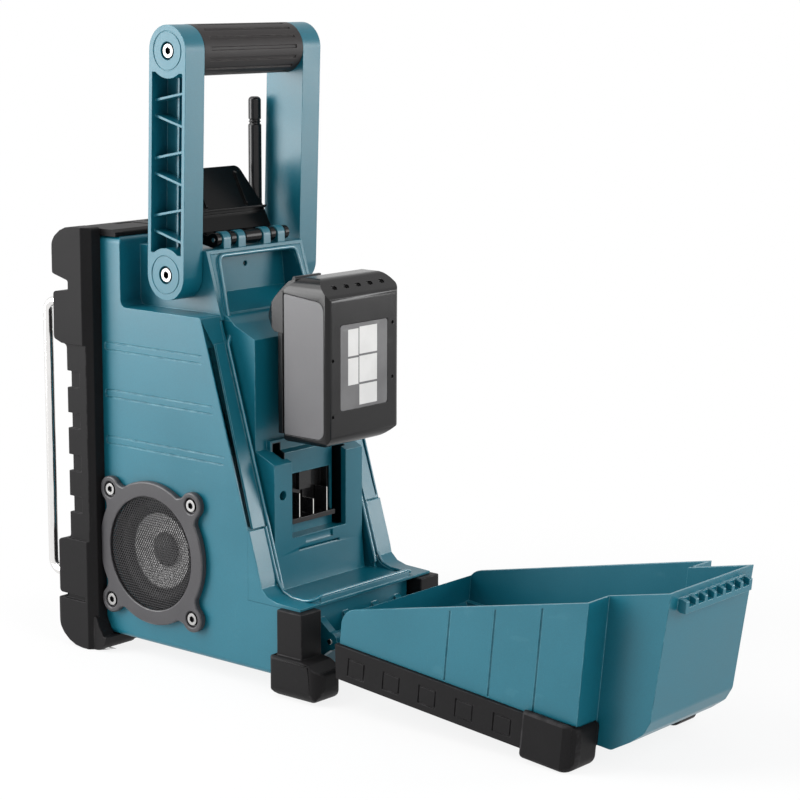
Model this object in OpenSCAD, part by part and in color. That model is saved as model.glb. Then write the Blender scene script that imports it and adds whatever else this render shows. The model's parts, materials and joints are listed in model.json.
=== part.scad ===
// Battery jobsite radio: cabinet with two side speakers, folding handle, rear battery bay with a
// drop-down door, flip-over latch plate and an 18 V slide battery.
// Work axes: X across the radio, Y from the front of the bumpers to the rear, Z up from the ground.

/* [Overall] */
// Width across the two side bumpers
bumper_w = 163; // [161:1:166]
// Height of the side bumpers
bumper_h = 302; // [300:1:304]
// Width between the cabinet's side faces
cabinet_w = 135; // [134:1:136]
// Wall thickness of the moulded shells
wall = 3; // [2.4:0.2:3.2]

/* [Rear opening] */
// Lean of the battery bay's opening from upright, in degrees
rake = 16.9; // [16.5:0.1:17.2]
// Height of the shoulder that the handle folds down onto
shoulder_z = 247.6; // [246:0.2:249]
// Distance from the front to the rear edge of that shoulder
shoulder_y = 135.4; // [134:0.2:136]
// Height of the sill under the battery bay
sill_z = 62; // [61.4:0.2:62.6]

/* [Battery door] */
// Height of the door's hinge pin
hinge_z = 35; // [34:0.5:36]
// Distance from the front to the hinge pin
hinge_y = 229.4; // [228.8:0.2:230]
// Angle that the door stands open
door_open = 95.3; // [0:0.1:95.3]
// Half width of the narrow upper end of the door
door_end_x = 46; // [45:0.5:46.5]

/* [Handle] */
// Height of the handle's pivots
hub_z = 273.6; // [273:0.2:275]
// Distance from the front to the handle's pivots
hub_y = 102; // [101:0.5:103]
// Distance between the pivots and the axis of the grip
arm_len = 150.8; // [148:0.2:152]
// Backward lean of the raised handle, in degrees
handle_lean = 1.8; // [0:0.1:3]
// Radius of the rounded ends of the arms
arm_r = 17.3; // [16.5:0.1:17.4]
// Radius of the rubber grip
grip_r = 17.4; // [16:0.2:17.6]

/* [Latch] */
// Angle that the latch plate is flipped up from its closed place
latch_open = 118; // [0:1:118]
// Length of the latch plate behind its hinge
latch_len = 57; // [50:1:57]

/* [Battery] */
// Width of the battery
battery_w = 74; // [73:0.5:75]
// Height of the battery in its bay
battery_h = 112.5; // [110:0.5:114]
// Height of the battery's lower end where it is drawn out of its rails
battery_z = 164.5; // [162:0.5:168]

/* [Speakers] */
// Distance from the front to the speakers' axis
speaker_y = 88.5; // [87:0.5:90]
// Height of the speakers' axis
speaker_z = 78; // [77:0.5:80]
// Radius of the speaker grille
grille_r = 40; // [39:0.5:40.5]
// Half of the spacing of the four grille screws
grille_pitch = 40; // [39.5:0.5:40.5]

/* [Antenna] */
// Diameter of the rubber antenna
antenna_d = 9.4; // [8:0.2:9.6]
// Height of the antenna's tip
antenna_top = 389.5; // [360:0.5:392]

/* [Hidden] */
cab_x = cabinet_w / 2;
bump_x = bumper_w / 2;
neck_x = 48;
bay_x = 50;
cab_bottom = 11;
cab_front = 12.4;
cab_top = 296;
neck_top = 290;
recess_y = 58;
foot_y0 = 208;
foot_y1 = 230.5;
foot_step_z = 28.5;
foot_in_x = 52;
rod_d = 7;
rod_x = 73;
rod_y = -11;
rod_z0 = 51;
rod_z1 = 247;
latch_y = 117;
latch_z = 296;
antenna_x = -40;
antenna_y = 85;
door_gap = 2.5;
door_rear = 231;
door_top = 299;
door_wall = 2.5;
strip_y0 = 216.4;
strip_y1 = 239.5;
strip_top = 218;
door_foot_z = 258.6;
door_foot_r = 8;
// Depth of the door's corner foot that sets it on the ground when the door is fully open
door_foot_y = hinge_y + door_foot_r
    + (hinge_z - door_foot_r + (door_foot_z - door_foot_r - hinge_z) * cos(95.3)) / sin(95.3);
rail_face = 182;
head_y0 = 165;
batt_y0 = 182.6;
batt_y1 = 223.6;
display_z = 226;
button_z = [188, 166];
button_step = 21;
knob_z = 112;
jack_z = 46;
jack_x = 40;
panel_y = 8;
lip_y = 127;
// Furthest forward and rearward points of the radio as it stands, which centre the frame
front_y = rod_y - rod_d / 2;
rear_y = turned([lip_y + 1, door_top + 5.6]).x;
origin_y = (front_y + rear_y) / 2;
// Clear gap between pieces that move past each other
fit = 0.3;

function unit(v) = v / norm(v);
function rake_y(z) = shoulder_y + (shoulder_z - z) * tan(rake);
// Place in the side view of a point of the closed door once the door is open
function turned(p, a = 95.3) = [
    hinge_y + (p.x - hinge_y) * cos(a) + (p.y - hinge_z) * sin(a),
    hinge_z - (p.x - hinge_y) * sin(a) + (p.y - hinge_z) * cos(a)];
// Polygon moved inwards by d (anticlockwise outlines)
function inset(p, d) = let (m = len(p)) [for (i = [0:m - 1])
    let (u = unit(p[i] - p[(i + m - 1) % m]), v = unit(p[(i + 1) % m] - p[i]),
        a = [-u.y, u.x], b = [-v.y, v.x]) p[i] + d * (a + b) / (1 + a * b)];
// Polygon with rounded corners: r is one radius or a list of them
function rounded(p, r, n = 6) = let (m = len(p)) [for (i = [0:m - 1])
    let (q = is_list(r) ? r[i] : r)
    each (q <= 0 ? [p[i]] : corner(p[(i + m - 1) % m], p[i], p[(i + 1) % m], q, n))];
function corner(a, b, c, r, n) = let (
    u = unit(a - b), v = unit(c - b), h = acos(u * v) / 2, o = b + unit(u + v) * r / sin(h),
    s = b + u * r / tan(h) - o, e = b + v * r / tan(h) - o,
    a0 = atan2(s.y, s.x), d = atan2(e.y, e.x) - a0, w = d > 180 ? d - 360 : d < -180 ? d + 360 : d)
    [for (k = [0:n]) o + r * [cos(a0 + w * k / n), sin(a0 + w * k / n)]];
function box_pts(x0, y0, x1, y1) = [[x0, y0], [x1, y0], [x1, y1], [x0, y1]];

// Moves work axes to the part's frame
module place() {
    translate([0, -origin_y, 0]) children();
}
// Side-view outline (y, z) drawn out from x0 to x1
module slab(pts, x0, x1) {
    translate([x0, 0, 0]) rotate([90, 0, 90]) linear_extrude(x1 - x0) polygon(pts);
}
// Plan outline (x, y) drawn up from z0 to z1
module plan(pts, z0, z1) {
    translate([0, 0, z0]) linear_extrude(z1 - z0) polygon(pts);
}
// Front-view outline (x, z) drawn back from y0 to y1
module face(pts, y0, y1) {
    translate([0, y1, 0]) rotate([90, 0, 0]) linear_extrude(y1 - y0) polygon(pts);
}
module block(a, b) {
    translate(a) cube(b - a);
}
module rod_x(x0, x1, r, y, z, n = 48) {
    translate([x0, y, z]) rotate([0, 90, 0]) cylinder(r = r, h = x1 - x0, $fn = n);
}
module rod_y(y0, y1, r, x, z, n = 48) {
    translate([x, y0, z]) rotate([-90, 0, 0]) cylinder(r = r, h = y1 - y0, $fn = n);
}
module rod_z(z0, z1, r, x, y, n = 48) {
    translate([x, y, z0]) cylinder(r = r, h = z1 - z0, $fn = n);
}
module both_sides() {
    for (s = [0, 1]) mirror([s, 0, 0]) children();
}
module left_side() {
    mirror([1, 0, 0]) children();
}
// Local axes of the raked opening: origin at the shoulder's rear edge, Y out of the opening, Z up it
module on_rake() {
    translate([0, shoulder_y, shoulder_z]) rotate([rake, 0, 0]) children();
}
// Turns the closed door's pieces to the open door
module door_pose() {
    translate([0, hinge_y, hinge_z]) rotate([-door_open, 0, 0]) translate([0, -hinge_y, -hinge_z]) children();
}
module handle_pose() {
    translate([0, hub_y, hub_z]) rotate([-handle_lean, 0, 0]) translate([0, -hub_y, -hub_z]) children();
}
module latch_pose() {
    translate([0, latch_y, latch_z]) rotate([latch_open, 0, 0]) translate([0, -latch_y, -latch_z]) children();
}
module teal() {
    color([0.16, 0.45, 0.53]) children();
}
module rubber() {
    color([0.16, 0.15, 0.16]) children();
}
module black() {
    color([0.07, 0.07, 0.08]) children();
}
module steel() {
    color([0.78, 0.79, 0.8]) children();
}

// ---------- cabinet ----------
wide_outline = rounded([[cab_front, cab_bottom], [216, cab_bottom], [216, sill_z - 2.4], [rake_y(107.6), sill_z - 2.4],
    [rake_y(107.6), 107.6], [shoulder_y, shoulder_z], [recess_y, shoulder_z], [recess_y, cab_top],
    [cab_front, cab_top]], [8, 0, 0, 0, 0, 2, 5, 4, 8]);
neck_outline = [[recess_y - 4, shoulder_z - 6], [rake_y(shoulder_z - 6), shoulder_z - 6],
    [rake_y(neck_top), neck_top], [recess_y - 4, neck_top]];
inner_outline = [[cab_front - 1, cab_bottom + wall], [216 - wall, cab_bottom + wall], [216 - wall, sill_z - 5.6],
    [rake_y(107.6) - 5, sill_z - 5.6], [rake_y(107.6) - 5, 104], [shoulder_y - 4, shoulder_z - wall],
    [recess_y - wall, shoulder_z - wall], [recess_y - wall, cab_top - wall], [cab_front - 1, cab_top - wall]];
groove_z = [219, 185.7, 152.4];

module side_groove(z) {
    end = rake_y(z) - 8;
    for (dz = [-2.6, 2.6]) block([cab_x - 0.7, 44, z + dz - 0.5], [cab_x + 1, end, z + dz + 0.5]);
    difference() {
        rod_x(cab_x - 0.7, cab_x + 1, 3.1, 44, z);
        rod_x(cab_x - 1, cab_x + 2, 2.1, 44, z);
        block([cab_x - 1, 44, z - 4], [cab_x + 2, 50, z + 4]);
    }
}

module cabinet() {
    place() teal() difference() {
        union() {
            intersection() {
                slab(wide_outline, -cab_x, cab_x);
                face(rounded(box_pts(-cab_x, cab_bottom, cab_x, cab_top), 4.5, 5), 0, 250);
            }
            slab(neck_outline, -neck_x, neck_x);
            for (x = [-27, -12.5, 12.5, 27]) latch_knuckle(x);
            both_sides() on_rake() rail_strip();
        }
        slab(inner_outline, -cab_x + wall, cab_x - wall);
        slab([[recess_y - wall - 1, shoulder_z - 8], [rake_y(shoulder_z - 8) - 4, shoulder_z - 8],
            [rake_y(neck_top) - 4, neck_top - wall], [recess_y - wall - 1, neck_top - wall]],
            -neck_x + wall, neck_x - wall);
        block([-bay_x - 0.1, 104, sill_z - 12], [bay_x + 0.1, 250, shoulder_z - 3.8]);
        block([-neck_x + wall, 104, shoulder_z - 8], [neck_x - wall, 250, neck_top - 2.6]);
        both_sides() {
            block([foot_in_x - 0.2, foot_y0 - 0.2, 0], [cab_x + 1, 260, sill_z]);
            rod_x(cab_x - wall - 1, cab_x + 1, grille_r + 2.5, speaker_y, speaker_z, 96);
            for (y = [-1, 1], z = [-1, 1])
                rod_x(cab_x - 4, cab_x + 1, 1.6, speaker_y + y * grille_pitch, speaker_z + z * grille_pitch);
            for (z = groove_z) side_groove(z);
            rod_x(neck_x - 4, neck_x + 1, 7.55, hub_y, hub_z);
            on_rake() face([[64.1, -144], [66.2, -144], [66.2, -21], [60.6, -21]], -2.4, 0.5);
        }
        rod_x(-34, 34, 1.55, latch_y, latch_z);
        rod_z(neck_top - 4, neck_top + 1, 5, antenna_x, antenna_y);
    }
}

module latch_knuckle(x) {
    slab(rounded([[latch_y - 5.4, neck_top - 1], [latch_y + 5.4, neck_top - 1], [latch_y + 5.4, latch_z + 5.4],
        [latch_y - 5.4, latch_z + 5.4]], [0, 0, 5.3, 5.3], 8), x - 3.6, x + 3.6);
}

// Raised strip down the raked edge beside the bay
module rail_strip() {
    face([[bay_x + 1.5, -146], [63.5, -146], [60, -19], [bay_x + 1.5, -19]], -0.1, 1.4);
}

// ---------- battery bay ----------
function back_y(z) = rake_y(z) - 14;
liner_outer = [[212.8, sill_z - 2.2], [212.8, sill_z], [rake_y(sill_z), sill_z], [rake_y(neck_top - 2.6), neck_top - 2.6],
    [110.4, neck_top - 2.6], [110.4, 257], [back_y(253) - 2.4, 253], [back_y(sill_z - 2.2) - 2.4, sill_z - 2.2]];
module battery_bay() {
    place() teal() difference() {
        union() {
            difference() {
                slab(liner_outer, -bay_x, bay_x);
                liner_cavity();
            }
            slab([[back_y(sill_z) - 1.2, sill_z - 0.4], [184.5, sill_z - 0.4], [rail_face, 84], [rail_face, 149],
                [164.4, 156.5], [164.4, 233], [146, 241], [140, 246], [125, 250], [back_y(240) - 1.2, 240]],
                -45, 45);
            block([-34, 145.6, 93.6], [34, 168, 162.4]);
            on_rake() seal_rib();
        }
        both_sides() block([neck_x - wall - 0.1, 100, shoulder_z - 4], [70, 150, 300]);
        block([-27.5, 171.8, 96], [27.5, rail_face + 1, 160]);
        block([-31.6, 171.8, 96], [31.6, 177.4, 160]);
        both_sides() block([24.6, 148, 96], [31.6, 177.4, 160]);
        block([-22.2, 161.5, 103.5], [22.2, 172, 137.5]);
        slab([[back_y(160) - 5, 160], [162, 160], [162, 231.4], [144, 239], [back_y(236) - 5, 236]], -42.6, 42.6);
        both_sides() slab([[back_y(72) - 5, 72], [180.6, 72], [179.6, 82], [179.6, 147], [162, 154.4],
            [back_y(154) - 5, 154]], 34, 42.6);
        rod_y(172, rail_face + 1, 3.2, 36.6, 127);
        block([-21, rail_face - 6, 85.4], [21, rail_face + 2, 87.6]);
        block([-14, rail_face - 1.4, 90], [14, rail_face + 1, 95]);
        rod_y(109, 117, 1.8, 0, 276.6);
    }
}
module liner_cavity() {
    x = bay_x - 2.4;
    slab([[260, sill_z], [260, 243.6], [back_y(243.6), 243.6], [back_y(sill_z), sill_z]], -x, x);
    intersection() {
        slab([[260, 241], [260, neck_top - 5], [113, neck_top - 5], [113, 258.6], [140, 246], [146, 241]], -x, x);
        face([[-45, 240], [45, 240], [40, 258], [36.6, 286], [-36.6, 286], [-40, 258]], 100, 261);
    }
}
// Rib that the door seals against: round the upper recess, then down each side of the bay
module seal_rib() {
    z_top = (287 - shoulder_z) / cos(rake);
    outer = rounded([[-39.5, z_top], [-44, -13], [-49.4, -20], [-49.4, -190], [-46.9, -190], [-46.9, -21.2],
        [-41.6, -14.2], [-37.2, z_top - 2.4], [37.2, z_top - 2.4], [41.6, -14.2], [46.9, -21.2], [46.9, -190],
        [49.4, -190], [49.4, -20], [44, -13], [39.5, z_top]],
        [6, 3, 3, 0, 0, 3, 3, 4, 4, 3, 3, 0, 0, 3, 3, 6], 4);
    face(outer, -3, 1.9);
}

// ---------- rear sill with the door's hinge ----------
sill_outline = [[rake_y(107.6) + 0.1, 107.4], [rake_y(107.6) + 0.1, sill_z - 2.2], [225.6, sill_z - 2.2],
    [225.6, sill_z - 0.4], [204, sill_z + 0.4], [196, 64.6], [190.5, 69.5], [rake_y(76) + 1.5, 76],
    [rake_y(107.6) + 1.5, 107.4]];
module rear_sill() {
    place() teal() difference() {
        union() {
            both_sides() difference() {
                slab(sill_outline, bay_x + 0.1, cab_x);
                slab([[170, 62.2], [190, 62.2], [186.6, 69], [rake_y(88) - 3, 88], [170, 96]], bay_x + 2.6, cab_x - 2.5);
            }
            slab([[212.9, sill_z - 2.2], [225.6, sill_z - 2.2], [225.6, sill_z - 0.4], [212.9, sill_z]],
                -bay_x - 0.1, bay_x + 0.1);
            slab([[221.6, sill_z - 0.6], [225, sill_z - 0.6], [224.6, sill_z + 3.4], [222.2, sill_z + 3.4]], -46, 46);
            slab([[216.1, 16], [219, 16], [219, sill_z - 2.1], [216.1, sill_z - 2.1]], -bay_x - 0.1, bay_x + 0.1);
            for (x = [-39.2, -15, 15, 39.2]) hinge_lug(x);
        }
        rod_x(-60, 60, 2.05, hinge_y, hinge_z);
    }
}
module hinge_lug(x) {
    slab([[218, hinge_z - 15], [hinge_y, hinge_z - 6.4], [hinge_y, hinge_z + 6.4], [218, hinge_z + 15]], x - 3, x + 3);
    rod_x(x - 3, x + 3, 6.4, hinge_y, hinge_z);
}
module door_hinge_pin() {
    place() steel() rod_x(-43, 43, 2, hinge_y, hinge_z);
}

// ---------- rubber bumpers and guard rods ----------
post_plan = rounded([[60, 0], [bump_x, 0], [bump_x, 33.5], [bump_x - 5.5, 39], [cab_x + 0.1, 39],
    [cab_x + 0.1, cab_front - 0.2], [60, cab_front - 0.2]], [1.5, 6, 1.5, 1.5, 0, 0, 0]);
post_side = rounded([[0, 0], [50, 0], [50, 8], [40, 22], [40, bumper_h], [0, bumper_h], [0, 269], [19.5, 264],
    [19.5, 257.4], [4, 255.4], [3, 222.5], [15.5, 218], [15.5, 80], [4, 77], [4, 38.6], [10, 37.4], [10, 35], [0, 34]],
    [27, 3.5, 3, 4, 4, 24, 4, 1.5, 1.5, 3, 3, 3, 3, 3, 3, 0.8, 0.8, 5]);
pad_gap_z = [[188.3, 200], [159.3, 170.1], [128.5, 140.1], [98.5, 110.1]];

module bumper_right() {
    place() rubber() difference() {
        union() {
            intersection() {
                plan(post_plan, 0, bumper_h);
                slab(post_side, 50, bump_x);
            }
            slab(rounded([[16, 0], [45, 0], [49, 10.9], [10, 10.9]], [8, 10, 0, 0]), 47, bump_x - 3);
            slab(rounded([[12.6, 10.8], [46, 10.8], [42, 17], [38.9, 24], [12.6, 24]], [0, 0, 4, 0, 0]), cab_x + 0.1, bump_x - 3);
        }
        slab([[-1, 79], [40, 79], [40, 219.4], [-1, 219.4]], bump_x - 1.5, bump_x + 1);
        for (g = pad_gap_z) slab([[14, g[0]], [18.6, g[0]], [18.6, g[1]], [14, g[1]]], 60, bump_x + 1);
        for (g = pad_gap_z) slab([[14, g[0]], [28, g[0]], [28, g[1]], [14, g[1]]], bump_x - 2.6, bump_x + 1);
        slab([[6, 34.4], [31, 34.4], [31, 38], [6, 38]], bump_x - 2, bump_x + 1);
        for (z = [rod_z0, rod_z1]) rod_y(-1, 12, rod_d / 2, rod_x, z);
        block([40, 4, cab_bottom - 0.1], [cab_x + 0.1, 60, bumper_h - 12]);
        block([50, cab_front - 0.1, 20], [cab_x + 0.1, 60, bumper_h + 1]);
    }
}
module bumper_left() {
    left_side() bumper_right();
}
module bumper_top() {
    place() rubber() difference() {
        slab(rounded([[2, 284], [cab_front - 0.2, 284], [cab_front - 0.2, cab_top + 0.1], [54, cab_top + 0.1], [54, 299],
            [50, bumper_h - 1.2], [2, bumper_h - 1.2]], [1, 0, 0, 0, 2, 2, 15]), -59.9, 59.9);
        for (x = [-30, 0, 30]) block([x - 9, 22, bumper_h - 1.6], [x + 9, 44, bumper_h + 1]);
    }
    place() rubber() both_sides() slab([[cab_front, cab_top + 0.1], [54, cab_top + 0.1], [54, 299], [50, bumper_h - 1.2],
        [24, bumper_h - 1.2], [16, bumper_h - 3], [cab_front, bumper_h - 4.4]], 59.9, cab_x);
}
module bumper_bottom() {
    place() rubber() slab(rounded([[4, 3], [46, 3], [50, cab_bottom - 0.1], [cab_front - 0.2, cab_bottom - 0.1],
        [cab_front - 0.2, 20], [4, 20]], [4, 3, 0, 0, 0, 2]), -46.9, 46.9);
}
// A steel rod with its two ends turned back into the bumper's blocks
module guard_rods() {
    r = 8;
    place() steel() both_sides() {
        rod_z(rod_z0 + r, rod_z1 - r, rod_d / 2, rod_x, rod_y);
        for (e = [-1, 1]) translate([rod_x, rod_y + r, e < 0 ? rod_z0 + r : rod_z1 - r])
            multmatrix([[0, 0, -e, 0], [-1, 0, 0, 0], [0, e, 0, 0]])
                rotate_extrude(angle = 90, $fn = 48) translate([r, 0]) circle(r = rod_d / 2, $fn = 48);
        for (z = [rod_z0, rod_z1]) rod_y(rod_y + r, 11.9, rod_d / 2, rod_x, z);
    }
}

// ---------- rear feet ----------
module rear_foot_right() {
    place() rubber() difference() {
        union() {
            slab([[foot_y0, foot_step_z - 3], [foot_y1, foot_step_z - 3], [foot_y1, sill_z - 2.4],
                [foot_y0, sill_z - 2.4]], foot_in_x, 71.7);
            intersection() {
                slab(rounded([[203, 0], [247.6, 0], [247.6, 21.6], [238, 27.2], [foot_y1, foot_step_z], [203, foot_step_z]],
                    [9, 12, 5, 3, 0, 3]), 50.3, 75.5);
                face(rounded([[50.3, 0], [75.5, 0], [75.5, foot_step_z], [50.3, foot_step_z]], [3, 9, 3, 0]), 200, 250);
                plan(rounded([[50.3, 203], [75.5, 203], [75.5, 247.6], [50.3, 247.6]], [2, 5, 9, 6]), 0, 40);
            }
        }
        block([40, 190, cab_bottom - 0.1], [cab_x + 0.1, foot_y0 - 0.1, 80]);
        block([40, 190, cab_bottom - 0.1], [foot_in_x - 0.1, foot_y0 + 12, 80]);
    }
}
module rear_foot_left() {
    left_side() rear_foot_right();
}

// ---------- speakers ----------
module at_speaker(x) {
    translate([x, speaker_y, speaker_z]) rotate([0, 90, 0]) children();
}
// Webs that blend each screw lug into the ring
lug_x = grille_pitch * sqrt(2);
web_outline = let (a = [for (k = [0:5]) [55.9, 17.6] + 8.5 * [cos(200 + k * 13.2), sin(200 + k * 13.2)]])
    concat([[40, 0]], [[44, 15]], a, [[lug_x, 6]], [[lug_x, -6]], [for (k = [5:-1:0]) [a[k].x, -a[k].y]], [[44, -15]]);
module speaker_ring_right() {
    place() rubber() at_speaker(cab_x + 0.1) difference() {
        union() {
            cylinder(r = 50.8, h = 6, $fn = 96);
            for (a = [45:90:315]) rotate(a) {
                translate([lug_x, 0, 0]) cylinder(r = 9.3, h = 6.5, $fn = 48);
                linear_extrude(7) polygon(web_outline);
            }
        }
        translate([-80, -80, 5]) cube([160, 160, 5]);
        translate([-30, -60, -1]) cube([60, 10.7, 8]);
        translate([0, 0, -1]) cylinder(r = grille_r, h = 8, $fn = 96);
        translate([0, 0, -1]) cylinder(r = grille_r + 1.6, h = 4.8, $fn = 96);
        for (a = [45:90:315]) rotate(a) translate([lug_x, 0, -1]) {
            cylinder(r = 2.1, h = 8, $fn = 32);
            translate([0, 0, 3]) cylinder(r = 5.6, h = 8, $fn = 48);
        }
    }
}
module speaker_ring_left() {
    left_side() speaker_ring_right();
}
module speaker_mesh_right() {
    place() color([0.13, 0.13, 0.14]) at_speaker(cab_x + 0.15) difference() {
        cylinder(r = grille_r + 1.4, h = 3.7, $fn = 96);
        translate([0, 0, -1]) cylinder(r = grille_r - 0.6, h = 3.5, $fn = 96);
    }
}
module speaker_mesh_left() {
    left_side() speaker_mesh_right();
}
module speaker_basket_right() {
    place() color([0.25, 0.25, 0.26]) at_speaker(0) difference() {
        union() {
            translate([0, 0, cab_x - 6]) cylinder(r = grille_r + 6, h = 2.8, $fn = 96);
            translate([0, 0, 44]) cylinder(r = 22, h = 4, $fn = 64);
            translate([0, 0, 47]) cylinder(r1 = 22, r2 = 40, h = cab_x - 53, $fn = 64);
        }
        translate([0, 0, 49.5]) cylinder(r1 = 21, r2 = 38.6, h = cab_x - 55.4, $fn = 64);
        translate([0, 0, cab_x - 8]) cylinder(r = 38.5, h = 10, $fn = 96);
        for (a = [0:60:300]) rotate(a) translate([26, -5, 47]) cube([14, 10, 9]);
    }
}
module speaker_basket_left() {
    left_side() speaker_basket_right();
}
module speaker_cone_right() {
    place() color([0.55, 0.55, 0.56]) at_speaker(0) rotate_extrude($fn = 96)
        polygon([[0, 51.6], [10.5, 51.6], [28, cab_x - 7.2], [31, cab_x - 4.2], [34, cab_x - 3.4],
            [37.6, cab_x - 5.2], [37.6, cab_x - 4], [34, cab_x - 2.2], [30.4, cab_x - 3],
            [27.4, cab_x - 6.2], [14, 54.4], [12, 57.4], [8, 59.6], [0, 60.8]]);
}
module speaker_cone_left() {
    left_side() speaker_cone_right();
}
module speaker_magnets() {
    place() color([0.3, 0.3, 0.32]) both_sides() at_speaker(0) {
        translate([0, 0, 30]) cylinder(r = 25, h = 10, $fn = 64);
        translate([0, 0, 40]) cylinder(r = 20, h = 4, $fn = 64);
    }
}
module speaker_screws() {
    place() steel() both_sides() for (y = [-1, 1], z = [-1, 1])
        translate([0, speaker_y + y * grille_pitch, speaker_z + z * grille_pitch]) difference() {
            union() {
                rod_x(cab_x - 7, cab_x + 2.4, 1.5, 0, 0, 24);
                rod_x(cab_x + 2.2, cab_x + 4.6, 4.2, 0, 0, 32);
            }
            rod_x(cab_x + 3, cab_x + 6, 2.3, 0, 0, 6);
        }
}

// ---------- front ----------
panel_outline = rounded(box_pts(-59.8, 20.2, 59.8, 283.8), 5);
module front_panel() {
    place() color([0.11, 0.11, 0.12]) difference() {
        union() {
            face(panel_outline, panel_y, panel_y + 4.2);
            face(rounded(box_pts(-54, 196, 54, 256), 5), panel_y - 1.6, panel_y + 0.2);
            rod_y(panel_y - 1.4, panel_y + 0.2, 31, 0, knob_z, 96);
        }
        face(rounded(box_pts(-43, 204, 43, 248), 2), panel_y - 3, panel_y + 6);
        for (i = [-2:2]) button_hole(i * button_step, button_z[0]);
        for (i = [-1, 1]) button_hole(i * 1.5 * button_step, button_z[1]);
        rod_y(panel_y - 3, panel_y + 6, 4.4, 0, knob_z);
        for (x = [-jack_x, jack_x]) rod_y(panel_y - 3, panel_y + 6, 4.6, x, jack_z);
        for (x = [-54, 54], z = [26, 276]) {
            rod_y(panel_y - 1, panel_y + 6, 1.8, x, z);
            rod_y(panel_y - 1, panel_y + 1.8, 3.6, x, z);
        }
    }
}
module button_hole(x, z) {
    face(rounded(box_pts(x - 7.3, z - 4.8, x + 7.3, z + 4.8), 2), panel_y - 3, panel_y + 6);
}
module display_window() {
    place() color([0.3, 0.36, 0.36]) {
        face(rounded(box_pts(-42.8, 204.2, 42.8, 247.8), 2), panel_y - 0.8, panel_y + 1.4);
    }
}
module display_module() {
    place() color([0.55, 0.62, 0.5]) {
        block([-41, panel_y + 1.5, 206], [41, panel_y + 5.5, 246]);
        block([-44, panel_y + 5.6, 200], [44, panel_y + 7.2, 250]);
    }
}
module push_button(x, z) {
    place() color([0.2, 0.2, 0.21]) {
        face(rounded(box_pts(x - 7, z - 4.5, x + 7, z + 4.5), 1.8), panel_y - 2.4, panel_y + 4.6);
        face(box_pts(x - 8.6, z - 6, x + 8.6, z + 6), panel_y + 4.5, panel_y + 6);
    }
}
module preset_1() {
    push_button(-2 * button_step, button_z[0]);
}
module preset_2() {
    push_button(-button_step, button_z[0]);
}
module preset_3() {
    push_button(0, button_z[0]);
}
module preset_4() {
    push_button(button_step, button_z[0]);
}
module preset_5() {
    push_button(2 * button_step, button_z[0]);
}
module power_button() {
    push_button(-1.5 * button_step, button_z[1]);
}
module mode_button() {
    push_button(1.5 * button_step, button_z[1]);
}
module tuning_knob() {
    place() black() difference() {
        union() {
            rod_y(panel_y - 15, panel_y - 1.8, 23, 0, knob_z, 96);
            rod_y(panel_y - 16.4, panel_y - 15, 21, 0, knob_z, 96);
            for (a = [0:20:340]) translate([0, 0, knob_z]) rotate([0, a, 0])
                block([21.5, panel_y - 14, -1.6], [24.2, panel_y - 1.8, 1.6]);
        }
        rod_y(panel_y - 11, panel_y, 3.02, 0, knob_z);
        rod_y(panel_y - 17, panel_y - 15.2, 3, 15, knob_z);
    }
}
module knob_encoder() {
    place() steel() {
        rod_y(panel_y - 10.6, panel_y + 6, 2.95, 0, knob_z);
        block([-7, panel_y + 6, knob_z - 7], [7, panel_y + 12.3, knob_z + 7]);
    }
}
module circuit_boards() {
    place() color([0.1, 0.35, 0.18]) {
        block([-52, panel_y + 12.4, 98], [52, panel_y + 14, 258]);
        block([-40, panel_y + 14, 200], [-20, panel_y + 19, 220]);
        block([10, panel_y + 14, 150], [34, panel_y + 18, 174]);
        for (x = [-2:2]) block([x * button_step - 3, panel_y + 7.6, button_z[0] - 3],
            [x * button_step + 3, panel_y + 12.5, button_z[0] + 3]);
        for (x = [-1.5, 1.5]) block([x * button_step - 3, panel_y + 7.6, button_z[1] - 3],
            [x * button_step + 3, panel_y + 12.5, button_z[1] + 3]);
        block([-40, 60, cab_bottom + wall + 0.1], [40, 130, cab_bottom + wall + 1.7]);
        block([-30, 80, cab_bottom + wall + 1.6], [30, 92, cab_bottom + wall + 22]);
    }
}
module jack_sockets() {
    place() color([0.7, 0.68, 0.62]) {
        for (x = [-jack_x, jack_x]) difference() {
            rod_y(panel_y + 0.4, panel_y + 14, 4.5, x, jack_z);
            rod_y(panel_y, panel_y + 12, x < 0 ? 1.8 : 2.8, x, jack_z);
        }
        difference() {
            rod_y(98, 110.3, 4, 0, 276.6);
            rod_y(101, 111, 1.8, 0, 276.6);
        }
    }
}
// Rubber flap over the two front sockets, hinged along its lower edge
module jack_cap() {
    place() rubber() {
        face(rounded(box_pts(-jack_x - 9, jack_z - 7.5, jack_x + 9, jack_z + 8), 4), panel_y - 2.9, panel_y - 0.6);
        rod_x(-jack_x, jack_x, 1.6, panel_y - 2.5, jack_z - 8.4, 24);
    }
}
module panel_screws() {
    place() steel() for (x = [-54, 54], z = [26, 276]) difference() {
        union() {
            rod_y(panel_y + 1.7, panel_y + 16, 1.7, x, z, 24);
            rod_y(panel_y + 0.2, panel_y + 1.8, 3.3, x, z, 32);
        }
        rod_y(panel_y, panel_y + 1.2, 1.6, x, z, 6);
    }
}

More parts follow.
